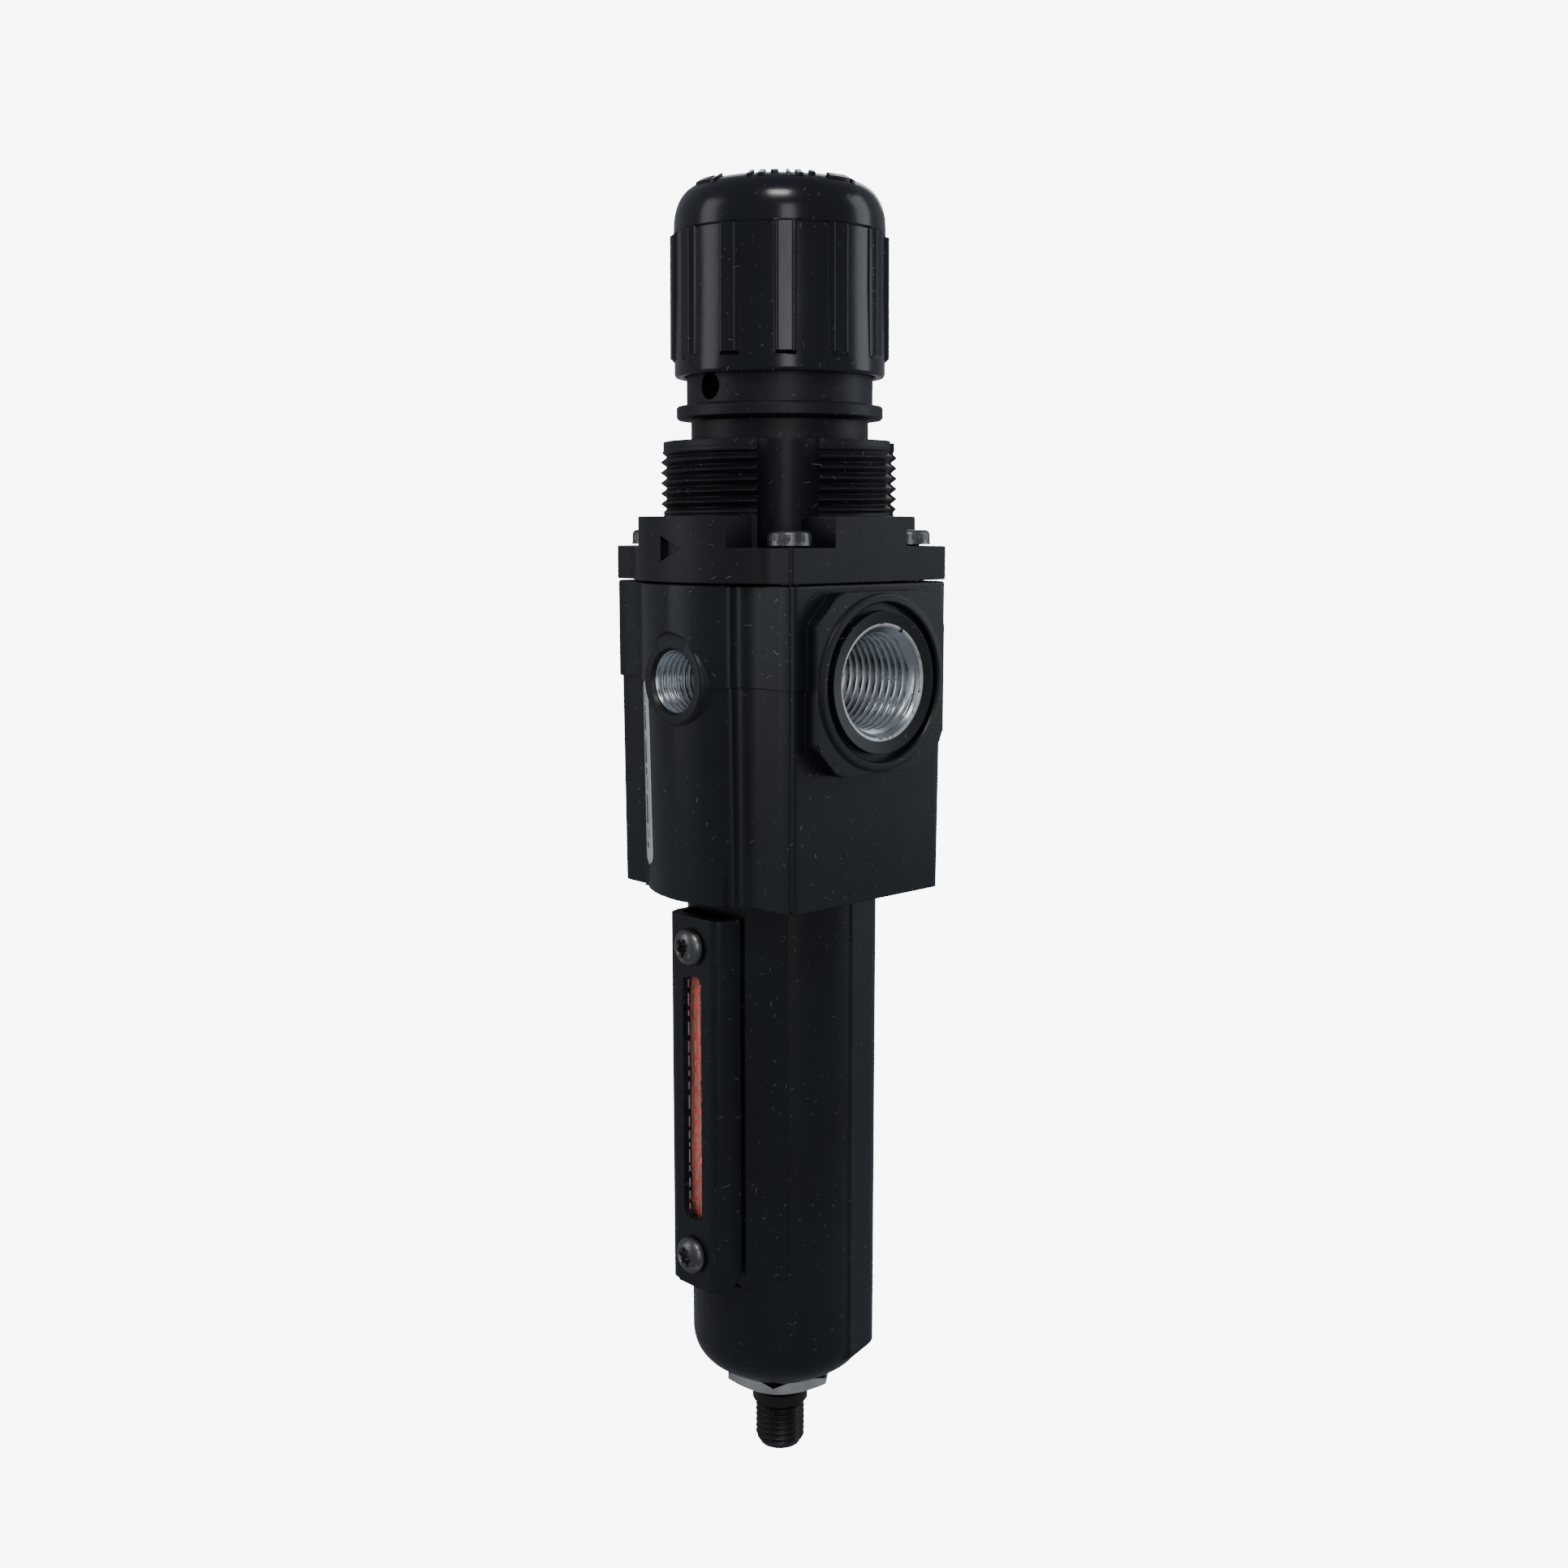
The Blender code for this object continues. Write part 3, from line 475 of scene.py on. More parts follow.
def clean(obj, smooth=32.0, merge=0.0000015):
    """Drops the slivers that a Boolean leaves, and lets normals run smoothly over broad faces."""
    bm = bmesh.new()
    bm.from_mesh(obj.data)
    bmesh.ops.remove_doubles(bm, verts=bm.verts, dist=merge)
    bmesh.ops.dissolve_degenerate(bm, edges=bm.edges, dist=merge)
    bm.to_mesh(obj.data)
    bm.free()
    obj.data.shade_smooth()
    obj.data.set_sharp_from_angle(angle=math.radians(smooth))
    weighted = obj.modifiers.new("weighted", "WEIGHTED_NORMAL")
    weighted.keep_sharp = True
    return obj


def rounded_edges(mat, radius):
    """Rounds the look of a material's sharp edges a little."""
    tree = mat.node_tree
    for node in tree.nodes:
        if node.type == "BUMP" and not node.inputs["Normal"].is_linked:
            bevel = tree.nodes.new("ShaderNodeBevel")
            bevel.samples = 4
            bevel.inputs["Radius"].default_value = radius
            tree.links.new(bevel.outputs["Normal"], node.inputs["Normal"])


def wear(obj, mat):
    obj.data.materials.clear()
    obj.data.materials.append(mat)
    return obj


def stand_for(obj, mat, slot, body, *nodes):
    if mat is not None:
        wear(obj, mat)
    if nodes:
        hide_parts(*nodes)
    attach(obj, body)
    return obj


def mirror_quarter(quarter):
    right = quarter + [(x, -y) for x, y in reversed(quarter)]
    left = [(-x, y) for x, y in reversed(right)]
    out = []
    for p in right + left:
        if not out or abs(out[-1][0] - p[0]) + abs(out[-1][1] - p[1]) > 0.02:
            out.append(p)
    if abs(out[0][0] - out[-1][0]) + abs(out[0][1] - out[-1][1]) < 0.02:
        out.pop()
    return out


TO_FRONT = Matrix.Rotation(math.radians(90), 4, "X")
TO_X = Matrix.Rotation(math.radians(90), 4, "Y")
SCREW_X, SCREW_Y = 20.3, 16.6
CORNERS = ((1, -1), (1, 1), (-1, 1), (-1, -1))

# =====================================================================  housing
NOSE_R, NOSE_OFF = 29.6, 2.0


def nose_y(x):
    return -math.sqrt(NOSE_R ** 2 - (abs(x) + NOSE_OFF) ** 2)


quarter = [(12.3 * i / 14, nose_y(12.3 * i / 14)) for i in range(15)]
corner = [(12.3, nose_y(12.3)), (12.95, -25.3), (13.25, -23.8), (14.3, -22.7), (16.2, -22.1), (18.2, -21.9), (23.6, -21.85), (25.6, -21.5), (26.15, -20.8), (26.22, -19.6)]
corner = soften([(11.6, nose_y(11.6))] + corner + [(26.22, -10.0)], 1.5, 5, closed=False)[1:-1]
outline = mirror_quarter(quarter + [p for p in corner if p[0] > 12.31])


# on the front left, where the label strip sits, the nose runs on round into the block's face
front_left = [(-17.4 * i / 20, nose_y(17.4 * i / 20)) for i in range(1, 21)]
front_left += soften([(-17.4, nose_y(17.4)), (-18.6, -21.9), (-23.6, -21.85), (-25.6, -21.5), (-26.15, -20.8), (-26.22, -19.6), (-26.22, -10.0)], 1.2, 4, closed=False)[1:-1]
outline = [p for p in outline if not (p[0] < -0.01 and p[1] < 0)] + list(reversed(front_left))



def lower_shape(x, y, z):
    t = max(0.0, min(1.0, -z / 43.6))
    kx = 0.9820 - 0.0105 * t
    ky = 0.9800 - 0.0115 * t
    if abs(y) > 21.3:
        ky -= 0.030 * t * (abs(y) - 21.3) / 8.0      # the nose leans in more than the block
    return x * kx, y * ky


housing = prism("housing_casting", outline, -0.6, 19.0, top=0.55, bottom=0.30, segments=3)
lower = prism("t_lower", outline, -43.6, 2.0, bottom=1.1, segments=4, shape=lower_shape, levels=4)
pieces = [lower]
for sign in (1, -1):
    turn = Matrix.Rotation(math.radians(90 * sign), 4, "Y")
    s = 17.6 - 5.8
    octo = [(17.6, -s), (17.6, s), (s, 17.6), (-s, 17.6), (-17.6, s), (-17.6, -s), (-s, -17.6), (s, -17.6)]
    octo = soften(octo, 1.2, 3)
    pieces.append(prism("t_octagon", octo, 21.0, 29.15, top=0.5, segments=2, matrix=turn))
    pieces.append(lathe("t_face", soften([(0, 29.7), (17.25, 29.7), (17.5, 28.0), (17.5, 21.0), (0, 21.0)], 0.45, 3, closed=False), 96, matrix=turn @ Matrix.Rotation(0.02, 4, "Z")))
for sign in (-1, 1):
    turn = Matrix.Rotation(math.radians(90 if sign < 0 else -90), 4, "X")
    pieces.append(lathe("t_pad", soften([(0, 28.8), (8.5, 28.8), (9.6, 26.6), (9.9, 22.0), (0, 22.0)], 0.5, 3, closed=False), 72, matrix=turn @ Matrix.Rotation(0.02, 4, "Z")))
carve(housing, "UNION", pieces)

cutters = [
    lathe("c_front_face", soften([(0, 33), (10.3, 33), (9.6, 28.8), (0, 28.8)], 0.6, 3, closed=False), 72, matrix=TO_FRONT),
    lathe("c_rear_face", soften([(0, 33), (10.3, 33), (9.6, 28.8), (0, 28.8)], 0.6, 3, closed=False), 72, matrix=Matrix.Rotation(math.radians(-90), 4, "X")),
    cylinder("c_recess", 18.7, 17.4, 21.0, steps=72),
    cylinder("c_chamber", 15.5, 12.0, 18.0, steps=64),
    cylinder("c_valve", 7.0, -12.0, 13.0, steps=48),
    cylinder("c_seat", 4.2, -18.0, -11.0, steps=32),
    lathe("c_socket", [(0, -17.0), (19.2, -17.0), (19.2, -42.6), (20.2, -43.7), (20.2, -46.0), (0, -46.0)], 96, matrix=Matrix.Rotation(0.011, 4, "Z")),
    cylinder("c_inlet_down", 3.0, -18.0, 0.0, at=(-16.0, 0, 0), steps=24),
    cylinder("c_outlet", 11.1, 1.5, 31.0, axis="X", steps=80),
    cylinder("c_inlet", 11.1, -31.0, -11.5, axis="X", steps=80),
    cylinder("c_outlet_end", 9.3, -0.5, 4.0, axis="X", steps=64),
    lathe("c_gauge_front", [(0, 16.0), (6.62, 16.0), (6.62, 27.8), (6.1, 28.0), (6.75, 29.0), (6.75, 32.0), (0, 32.0)], 64, matrix=TO_FRONT @ Matrix.Rotation(0.037, 4, "Z")),
    cylinder("c_gauge_rear", 5.75, 16.0, 32.0, axis="Y", steps=48),
    cylinder("c_link", 1.5, -17.0, 17.0, axis="Y", steps=16),
]
for sx, sy in CORNERS:
    cutters.append(cylinder("c_hole", 2.3, 5.0, 20.5, at=(sx * SCREW_X, sy * SCREW_Y, 0), steps=24))
for sign in (1, -1):
    turn = Matrix.Rotation(math.radians(90 * sign), 4, "Y")
    cutters.append(lathe("c_groove", [(15.75, 31.0), (15.75, 29.72), (15.45, 29.3), (15.45, 27.9), (13.9, 27.9), (13.9, 31.0)], 96, closed=True, matrix=turn @ Matrix.Rotation(0.013, 4, "Z")))
    cutters.append(lathe("c_dish", [(0, 31.0), (14.2, 31.0), (14.2, 29.62), (11.2, 29.1), (0, 29.1)], 96, matrix=turn @ Matrix.Rotation(0.017, 4, "Z")))
carve(housing, "DIFFERENCE", cutters)
clean(housing)
stand_for(housing, PAINT, "black_paint", "housing", "body")


def thread_v(phase, low, high, flat=0.14):
    """A rounded V thread: from low to high and back over one pitch."""
    t = abs(phase - 0.5) * 2.0
    t = min(max((t - flat) / (1.0 - 2 * flat), 0.0), 1.0)
    return low + (high - low) * t


def socket_thread(name, r_minor, r_major, pitch, start, stop, wall, mouth, matrix, mouth_r, steps):
    """A threaded sleeve: its inner wall carries the thread, and opens in a cone at the mouth."""
    def radius(phase, z):
        r = thread_v(phase, r_minor, r_major)
        if z > stop - mouth:
            r = max(r, r_minor + (mouth_r - r_minor) * (z - stop + mouth) / mouth)
        if z < start + pitch:
            r = r_minor + (r - r_minor) * (z - start) / pitch
        return r
    return helix_wall(name, radius, start, stop, pitch, wall, steps=steps, matrix=matrix)


for sign, name, start in ((1, "outlet_port_thread", 2.2), (-1, "inlet_port_thread", 11.6)):
    turn = Matrix.Rotation(math.radians(90 * sign), 4, "Y")
    piece = socket_thread(name, 9.30, 10.35, 1.814, start, 28.75, 11.08, 1.9, turn, 10.9, 112)
    stand_for(piece, THREAD_METAL, "zinc_plate", "housing")
    # the painted rim of the mouth, chipped back to bare metal
    rim = lathe(name.replace("thread", "rim"), soften([(11.5, 29.2), (11.12, 29.14), (10.8, 28.9), (10.85, 28.5), (11.5, 28.5)], 0.1, 2), 96, closed=True, matrix=turn)
    stand_for(rim, CHIPPED, "zinc_plate", "housing")
gauge = socket_thread("gauge_port_thread", 5.70, 6.40, 1.411, 16.4, 27.9, 6.60, 0.5, TO_FRONT, 6.10, 96)
stand_for(gauge, THREAD_METAL, "zinc_plate", "housing")
# label strip on the front nose, with blank printed bars
bm = bmesh.new()
rows, cols = 44, 10
grid = []
for i in range(rows + 1):
    z = -0.8 - 37.6 * i / rows
    edge = min(z + 38.4, -0.8 - z)
    inset = 0.0 if edge > 2.6 else 2.6 - math.sqrt(max(0.0, 2.6 ** 2 - (2.6 - edge) ** 2))
    line = []
    for j in range(cols + 1):
        x = -16.4 + inset + (6.0 - 2 * inset) * j / cols
        x2, y2 = lower_shape(x, nose_y(x), z)
        n = Vector((x * 1.0, nose_y(x))).normalized()
        line.append(bm.verts.new(((x2 + n.x * 0.06) * MM, (y2 + n.y * 0.06) * MM, z * MM)))
    grid.append(line)
for i in range(rows):
    for j in range(cols):
        bm.faces.new((grid[i][j], grid[i][j + 1], grid[i + 1][j + 1], grid[i + 1][j]))
bmesh.ops.remove_doubles(bm, verts=bm.verts, dist=0.000001)
label = from_bm("label_strip", bm, 40.0)
solid = label.modifiers.new("thick", "SOLIDIFY")
solid.thickness = 0.00012
solid.offset = 1.0
stand_for(label, LABEL, "white_plastic", "housing")
bm = bmesh.new()
spans = [(-4.2, 1.1), (-6.4, 0.6), (-9.0, 1.8), (-12.8, 1.0), (-15.4, 2.2), (-19.2, 0.7), (-21.6, 1.5), (-25.0, 1.0), (-28.0, 2.0), (-32.0, 0.9), (-34.4, 0.6)]
for k, (zc, half) in enumerate(spans):
    x0, x1 = (-14.6, -12.9) if k % 3 else (-14.6, -12.0)
    vs = []
    for z in (zc + half, zc - half):
        for x in (x0, (x0 + x1) / 2, x1):
            x2, y2 = lower_shape(x, nose_y(x), z)
            n = Vector((x, nose_y(x))).normalized()
            vs.append(bm.verts.new(((x2 + n.x * 0.185) * MM, (y2 + n.y * 0.185) * MM, z * MM)))
    bm.faces.new((vs[0], vs[1], vs[4], vs[3]))
    bm.faces.new((vs[1], vs[2], vs[5], vs[4]))
marks = from_bm("label_bars", bm, 40.0)
solid = marks.modifiers.new("thick", "SOLIDIFY")
solid.thickness = 0.00003
stand_for(marks, LABEL_INK, "black_plastic", "housing")

# =====================================================================  bonnet
BN = 29.4
quarter = [(19.2 * i / 18, -math.sqrt(BN ** 2 - (19.2 * i / 18) ** 2)) for i in range(19)]
quarter += soften([(19.2, -22.27), (20.7, -21.78), (26.0, -21.7), (26.0, -10.0)], 0.9, 4, closed=False)[1:-1]
plate_outline = mirror_quarter(quarter)
bonnet = prism("bonnet_moulding", plate_outline, 19.3, 26.0, top=0.3, bottom=0.25, segments=2)
quarter = [(13.0 * i / 14, -math.sqrt((BN - 0.06) ** 2 - (13.0 * i / 14) ** 2)) for i in range(15)]
quarter += soften([(13.0, -26.3), (13.0, -9.9), (25.94, -9.9)], 0.9, 4, closed=False, only=(1,))[1:]
ring = prism("t_ring", mirror_quarter(quarter), 24.6, 31.9, top=0.3, segments=2)

PITCH = 2.05


def panel_thread(phase, z):
    r = thread_v(phase, 22.85, 24.0, 0.10)
    run_in = min(1.0, max(0.0, (z - 32.2) / 1.3)) * min(1.0, max(0.0, (44.9 - z) / 1.0))
    plain = 23.45
    return plain + (r - plain) * run_in if run_in < 1.0 else r


thread = helix_wall("t_thread", panel_thread, 24.8, 45.4, PITCH, 0, steps=128, per_pitch=10, hand=1)
band = lathe("t_band", soften([(0, 46.6), (23.45, 46.6), (23.5, 45.0), (22.0, 44.0), (0, 44.0)], 0.3, 3, closed=False), 128)
carve(thread, "UNION", [band])
relief = []
for sx, sy in CORNERS:
    a = math.atan2(sy * SCREW_Y, sx * SCREW_X)
    relief.append(cylinder("c_relief", 6.2, 25.0, 48.0, at=(24.6 * math.cos(a), 24.6 * math.sin(a), 0), steps=64))
carve(thread, "DIFFERENCE", relief)
neck_profile = [(0, 64.5), (18.15, 64.5), (18.65, 63.9), (18.65, 53.9), (19.0, 53.45), (20.45, 53.5), (20.7, 53.2), (20.7, 51.3), (20.3, 50.9), (18.2, 50.9), (17.8, 50.5),
                (17.8, 46.0), (18.2, 45.0), (18.2, 30.0), (0, 30.0)]
neck = lathe("t_neck", neck_profile, 120, matrix=Matrix.Rotation(0.021, 4, "Z"))
carve(bonnet, "UNION", [ring, thread, neck])
cutters = [
    lathe("c_cavity", [(0, 60.9), (14.6, 60.9), (15.5, 60.0), (15.5, 18.0), (0, 18.0)], 72, matrix=Matrix.Rotation(0.033, 4, "Z")),
    cylinder("c_screw_bore", 5.3, 55.0, 66.0, steps=40),
    cylinder("c_wire_hole", 2.6, -26.0, 26.0, axis="Y", at=(0, 0, 56.9), steps=40),
    block("c_slot_front", (-3.4, -22.0, 60.9), (3.4, -17.2, 66.0)),
]
arrow = [(-2.6, 28.2), (-2.6, 23.2), (3.4, 25.7)]
cutters.append(prism("c_arrow_front", [(x, z) for x, z in arrow], 28.0, 33.0, matrix=TO_FRONT))
cutters.append(prism("c_arrow_rear", [(x, -z) for x, z in arrow], 28.0, 33.0, matrix=Matrix.Rotation(math.radians(-90), 4, "X")))
for sx, sy in CORNERS:
    cutters.append(cylinder("c_hole", 2.4, 18.0, 27.0, at=(sx * SCREW_X, sy * SCREW_Y, 0), steps=24))
cutters.pop(3).name = "unused_slot"
bpy.data.objects.remove(bpy.data.objects["unused_slot"])
carve(bonnet, "DIFFERENCE", cutters)
clean(bonnet)
stand_for(bonnet, MOULD, "black_plastic", "housing", "bonnet")


def star(r_out, r_in, n=48):
    return [((r_in + (r_out - r_in) * (0.5 + 0.5 * math.cos(6 * math.tau * k / n))) * math.cos(math.tau * k / n),
             (r_in + (r_out - r_in) * (0.5 + 0.5 * math.cos(6 * math.tau * k / n))) * math.sin(math.tau * k / n)) for k in range(n)]


for i, (sx, sy) in enumerate(CORNERS, 1):
    prof = soften([(0, 29.2), (3.6, 29.2), (4.15, 28.6), (4.2, 26.75), (4.35, 26.32), (2.0, 26.3), (2.0, 7.4), (1.6, 7.0), (0, 7.0)], 0.35, 3, closed=False)
    screw = lathe(f"bonnet_screw_head_{i}", prof, 60)
    tools = [prism("c_star", star(2.2, 1.55), 27.2, 31.0)]
    for k in range(18):                              # the grip flutes round the head
        a = math.tau * (k + 0.3) / 18
        tools.append(cylinder("c_flute", 0.32, 27.3, 30.0, at=(4.36 * math.cos(a), 4.36 * math.sin(a), 0), steps=10))
    carve(screw, "DIFFERENCE", tools)
    screw.data.transform(Matrix.Translation(Vector((sx * SCREW_X, sy * SCREW_Y, 0)) * MM) @ Matrix.Rotation(0.5 * i, 4, "Z"))
    clean(screw)
    stand_for(screw, SCREW_METAL, "dark_steel", "housing", f"bonnet_screw_{i}")

# =====================================================================  knob
outer = [(0, 96.8), (13.4, 96.75), (16.6, 96.15), (18.8, 94.75), (20.15, 92.7), (20.85, 90.3), (21.0, 88.0), (21.0, 86.95), (20.62, 86.6), (20.66, 75.0), (20.95, 63.0),
         (21.05, 61.7), (21.05, 59.75), (20.75, 59.2), (19.45, 59.2), (19.25, 59.5), (19.25, 70.0), (18.0, 71.0), (18.0, 90.0), (16.5, 92.3), (8.6, 92.3), (8.6, 69.0), (0, 69.0)]
outer = soften(outer, {1: 1.5, 2: 1.2, 3: 1.2, 4: 1.2, 5: 1.0, 6: 0.3, 7: 0.12, 12: 0.3, 13: 0.2, 14: 0.2}, 4, closed=False)
knob = lathe("knob_cap", outer, 144)
ribs = []
for k in range(12):
    a = math.radians(-40.6 + 30 * k)
    sec = [(19.6, -2.35), (20.6, -2.3), (21.72, -1.5), (21.72, 1.5), (20.6, 2.3), (19.6, 2.35)]
    sec = soften(sec, 0.28, 3)
    rib = prism("t_rib", sec, 61.8, 87.0, top=0.0, bottom=0.0,
                shape=lambda x, y, z: (x + (0.14 if x > 20.7 else 0.0) * (87.0 - z) / 25.2, y), levels=2)
    bm = bmesh.new()
    bm.from_mesh(rib.data)
    for v in bm.verts:                               # both ends slope back to the barrel
        if v.co.x > 20.8 * MM:
            if v.co.z > 86.5 * MM:
                v.co.z -= 0.5 * MM
            if v.co.z < 62.2 * MM:
                v.co.z += 1.1 * MM
    bm.to_mesh(rib.data)
    bm.free()
    rib.data.transform(Matrix.Rotation(a, 4, "Z"))
    ribs.append(rib)
carve(knob, "UNION", ribs)
hexa = [(7.27 * math.cos(math.tau * k / 6), 7.27 * math.sin(math.tau * k / 6)) for k in range(6)]
carve(knob, "DIFFERENCE", [prism("c_hex", hexa, 66.0, 84.0)])
clean(knob, smooth=28.0)
stand_for(knob, KNOB, "knob_plastic", "knob", "knob")

# raised marks round the top of the knob: plain bars, a plus and a minus, and two curved arrows
bm = bmesh.new()


def raised_bar(bm, r0, r1, a0, a1, steps=4, low=95.2, high=97.0):
    """A raised block between two radii and two angles on the knob's top, following its crown."""
    def top_z(r):
        pts = [(0, 96.8), (13.4, 96.75), (16.6, 96.15), (18.8, 94.75), (20.15, 92.7)]
        for (ra, za), (rb, zb) in zip(pts[:-1], pts[1:]):
            if ra <= r <= rb:
                return za + (zb - za) * (r - ra) / (rb - ra)
        return 93.0
    cols = []
    for i in range(steps + 1):
        a = math.radians(a0 + (a1 - a0) * i / steps)
        col = []
        for r in (r0, r1):
            for dz in (-0.5, 0.55):
                col.append(bm.verts.new((r * MM * math.cos(a), r * MM * math.sin(a), (top_z(r) + dz) * MM)))
        cols.append(col)
    for p, q in zip(cols[:-1], cols[1:]):
        for u, v in ((0, 1), (1, 3), (3, 2), (2, 0)):
            bm.faces.new((p[u], p[v], q[v], q[u]))
    bm.faces.new((cols[0][0], cols[0][1], cols[0][3], cols[0][2]))
    bm.faces.new((cols[-1][0], cols[-1][1], cols[-1][3], cols[-1][2]))


for base in (-43, 137):
    for off, r0, r1, wide in ((-21, 15.6, 18.0, 3.0), (-14, 15.6, 18.0, 4.5), (-6, 16.4, 17.4, 5.0), (4, 15.6, 18.0, 2.6), (10, 15.6, 18.0, 4.5), (19, 16.2, 17.4, 4.0)):
        raised_bar(bm, r0, r1, base + off, base + off + wide, 3)
for base in (-92, 2, 88, 182):
    raised_bar(bm, 16.9, 18.3, base - 14, base + 2, 8)
    raised_bar(bm, 15.9, 18.6, base + 3, base + 6, 2)
marks = from_bm("knob_marks", bm, 30.0)
bev = marks.modifiers.new("soft", "BEVEL")
bev.width = 0.00016
bev.segments = 2
stand_for(marks, KNOB, "knob_plastic", "knob")

# =====================================================================  bowl
bowl_profile = [(0, -22.0), (18.3, -22.0), (18.67, -22.4), (18.67, -29.1), (17.5, -29.1), (17.5, -31.0), (18.67, -31.0), (18.67, -140.5), (18.45, -142.3), (17.7, -144.3), (16.3, -146.1),
                (14.3, -147.5), (12.4, -148.3), (11.8, -149.0), (0, -149.0)]
bowl_profile = soften(bowl_profile, {8: 0.9, 9: 0.9, 10: 0.9, 11: 0.9, 12: 0.6, 13: 0.2}, 3, closed=False)
bowl = lathe("bowl_shell", bowl_profile, 144)
slab = [(-14.2, -11.2), (-15.3, -12.3), (-8.4, -17.5), (8.4, -17.5), (15.3, -12.3), (14.2, -11.2), (7.6, -16.55), (-7.6, -16.55)]
pad = prism("bowl_front_pad", slab, -125.0, -44.2)
for v in pad.data.vertices:
    if v.co.z < -124.0 * MM:
        v.co.z += max(0.0, (v.co.y / MM + 17.5)) * 0.55 * MM
spine_out = [(17.6, -1.0), (18.85, 2.5), (16.85, 11.5), (8.2, 19.6), (-8.2, 19.6), (-16.85, 11.5), (-18.85, 2.5), (-17.6, -1.0)]
spine_out = soften(spine_out, {1: 0.25, 2: 2.2, 3: 1.2, 4: 1.2, 5: 2.2, 6: 0.25}, 5)
spine = prism("t_spine", spine_out, -143.4, -44.2, bottom=0.6, top=0.3, segments=3)
for v in spine.data.vertices:
    if v.co.z < -140.0 * MM and v.co.y > 0.0:
        v.co.z += v.co.y * 0.05
carve(bowl, "UNION", [spine])
carve(bowl, "DIFFERENCE", [block("c_flat", (-8.9, -24.0, -125.3), (8.9, -17.25, -43.0))])
clean(pad)
stand_for(pad, PAINT, "black_paint", "housing", "bowl")
posts = [lathe("t_post", soften([(0, 22.1), (3.3, 22.1), (3.3, 16.9), (0, 16.9)], 0.3, 3, closed=False), 48, matrix=Matrix.Translation((0, 0, gz * MM)) @ TO_FRONT) for gz in (-53.4, -118.1)]
carve(bowl, "UNION", posts)
cutters = [
    lathe("c_inside", [(0, -21.0), (16.4, -21.0), (16.4, -141.0), (15.4, -144.0), (12.8, -146.0), (10.5, -146.6), (0, -146.6)], 96, matrix=Matrix.Rotation(0.019, 4, "Z")),
    cylinder("c_drain", 6.3, -150.0, -145.0, steps=48),
    prism("c_level", soften([(-1.6, -60.0), (1.6, -60.0), (1.6, -110.0), (-1.6, -110.0)], 1.0, 4), 14.0, 21.0, matrix=TO_FRONT),
]
for gz in (-53.4, -118.1):
    cutters.append(cylinder("c_post_hole", 2.25, -24.0, -17.3, axis="Y", at=(0, 0, gz), steps=24))
carve(bowl, "DIFFERENCE", cutters)
clean(bowl)
stand_for(bowl, PAINT, "black_paint", "housing", "bowl")

# =====================================================================  sight glass
z_top, z_low = -47.3, -125.1
u_out = [(-7.7, -17.8), (-7.7, -24.4), (7.7, -24.4), (7.7, -17.8), (5.9, -17.8), (5.9, -22.4), (-5.9, -22.4), (-5.9, -17.8)]
u_out = soften(u_out, {0: 0.3, 1: 3.3, 2: 3.3, 3: 0.3, 4: 0.3, 5: 1.4, 6: 1.4, 7: 0.3}, 6)
cover = prism("lens_frame", u_out, z_low + 0.4, z_top, top=0.25, segments=2)
floor = prism("t_floor", soften([(-7.7, -17.8), (-7.7, -24.4), (7.7, -24.4), (7.7, -17.8)], {1: 3.3, 2: 3.3}, 6), z_low, z_low + 2.5, bottom=0.9, segments=4)
carve(cover, "UNION", [floor])
corner_cut = prism("c_corner", [(-17.0, z_low + 5.6)] + [(-17.8 - 5.6 * (1 - math.cos(math.radians(90 * k / 8))), z_low + 5.6 - 5.6 * math.sin(math.radians(90 * k / 8))) for k in range(9)]
                   + [(-23.5, z_low - 1.0), (-17.0, z_low - 1.0)], -10.0, 10.0,
                   matrix=Matrix(((0, 0, 1, 0), (1, 0, 0, 0), (0, 1, 0, 0), (0, 0, 0, 1))))
cutters = [corner_cut, prism("c_slot", soften([(-2.75, -59.6), (2.75, -59.6), (2.75, -110.7), (-2.75, -110.7)], 1.5, 6), 21.0, 27.0, top=0.0, matrix=TO_FRONT)]
for gz in (-53.4, -118.1):
    cutters.append(cylinder("c_cover_hole", 2.3, -27.0, -20.0, axis="Y", at=(0, 0, gz), steps=36))
carve(cover, "DIFFERENCE", cutters)
clean(cover)
stand_for(cover, PAINT, "black_paint", "housing", "lens_cover")

lens = prism("sight_lens", soften([(-5.4, -57.9), (5.4, -57.9), (5.4, -113.4), (-5.4, -113.4)], 1.2, 5), 18.6, 22.1, top=0.35, bottom=0.2, segments=3, matrix=TO_FRONT)
clean(lens)
stand_for(lens, LENS, "clear_lens", "housing", "lens")

gasket = prism("sight_gasket", soften([(-5.6, -47.7), (5.6, -47.7), (5.6, -122.0), (-5.6, -122.0)], 1.5, 5), 17.8, 18.3, top=0.12, bottom=0.1, segments=2, matrix=TO_FRONT)
cutters = [prism("c_win", soften([(-1.9, -60.4), (1.9, -60.4), (1.9, -109.4), (-1.9, -109.4)], 1.2, 5), 16.0, 20.0, matrix=TO_FRONT)]
for gz in (-53.4, -118.1):
    cutters.append(cylinder("c_gasket_hole", 3.65, -20.0, -16.0, axis="Y", at=(0, 0, gz), steps=36))
carve(gasket, "DIFFERENCE", cutters)
clean(gasket)
stand_for(gasket, ORANGE, "orange_rubber", "housing", "lens_gasket")

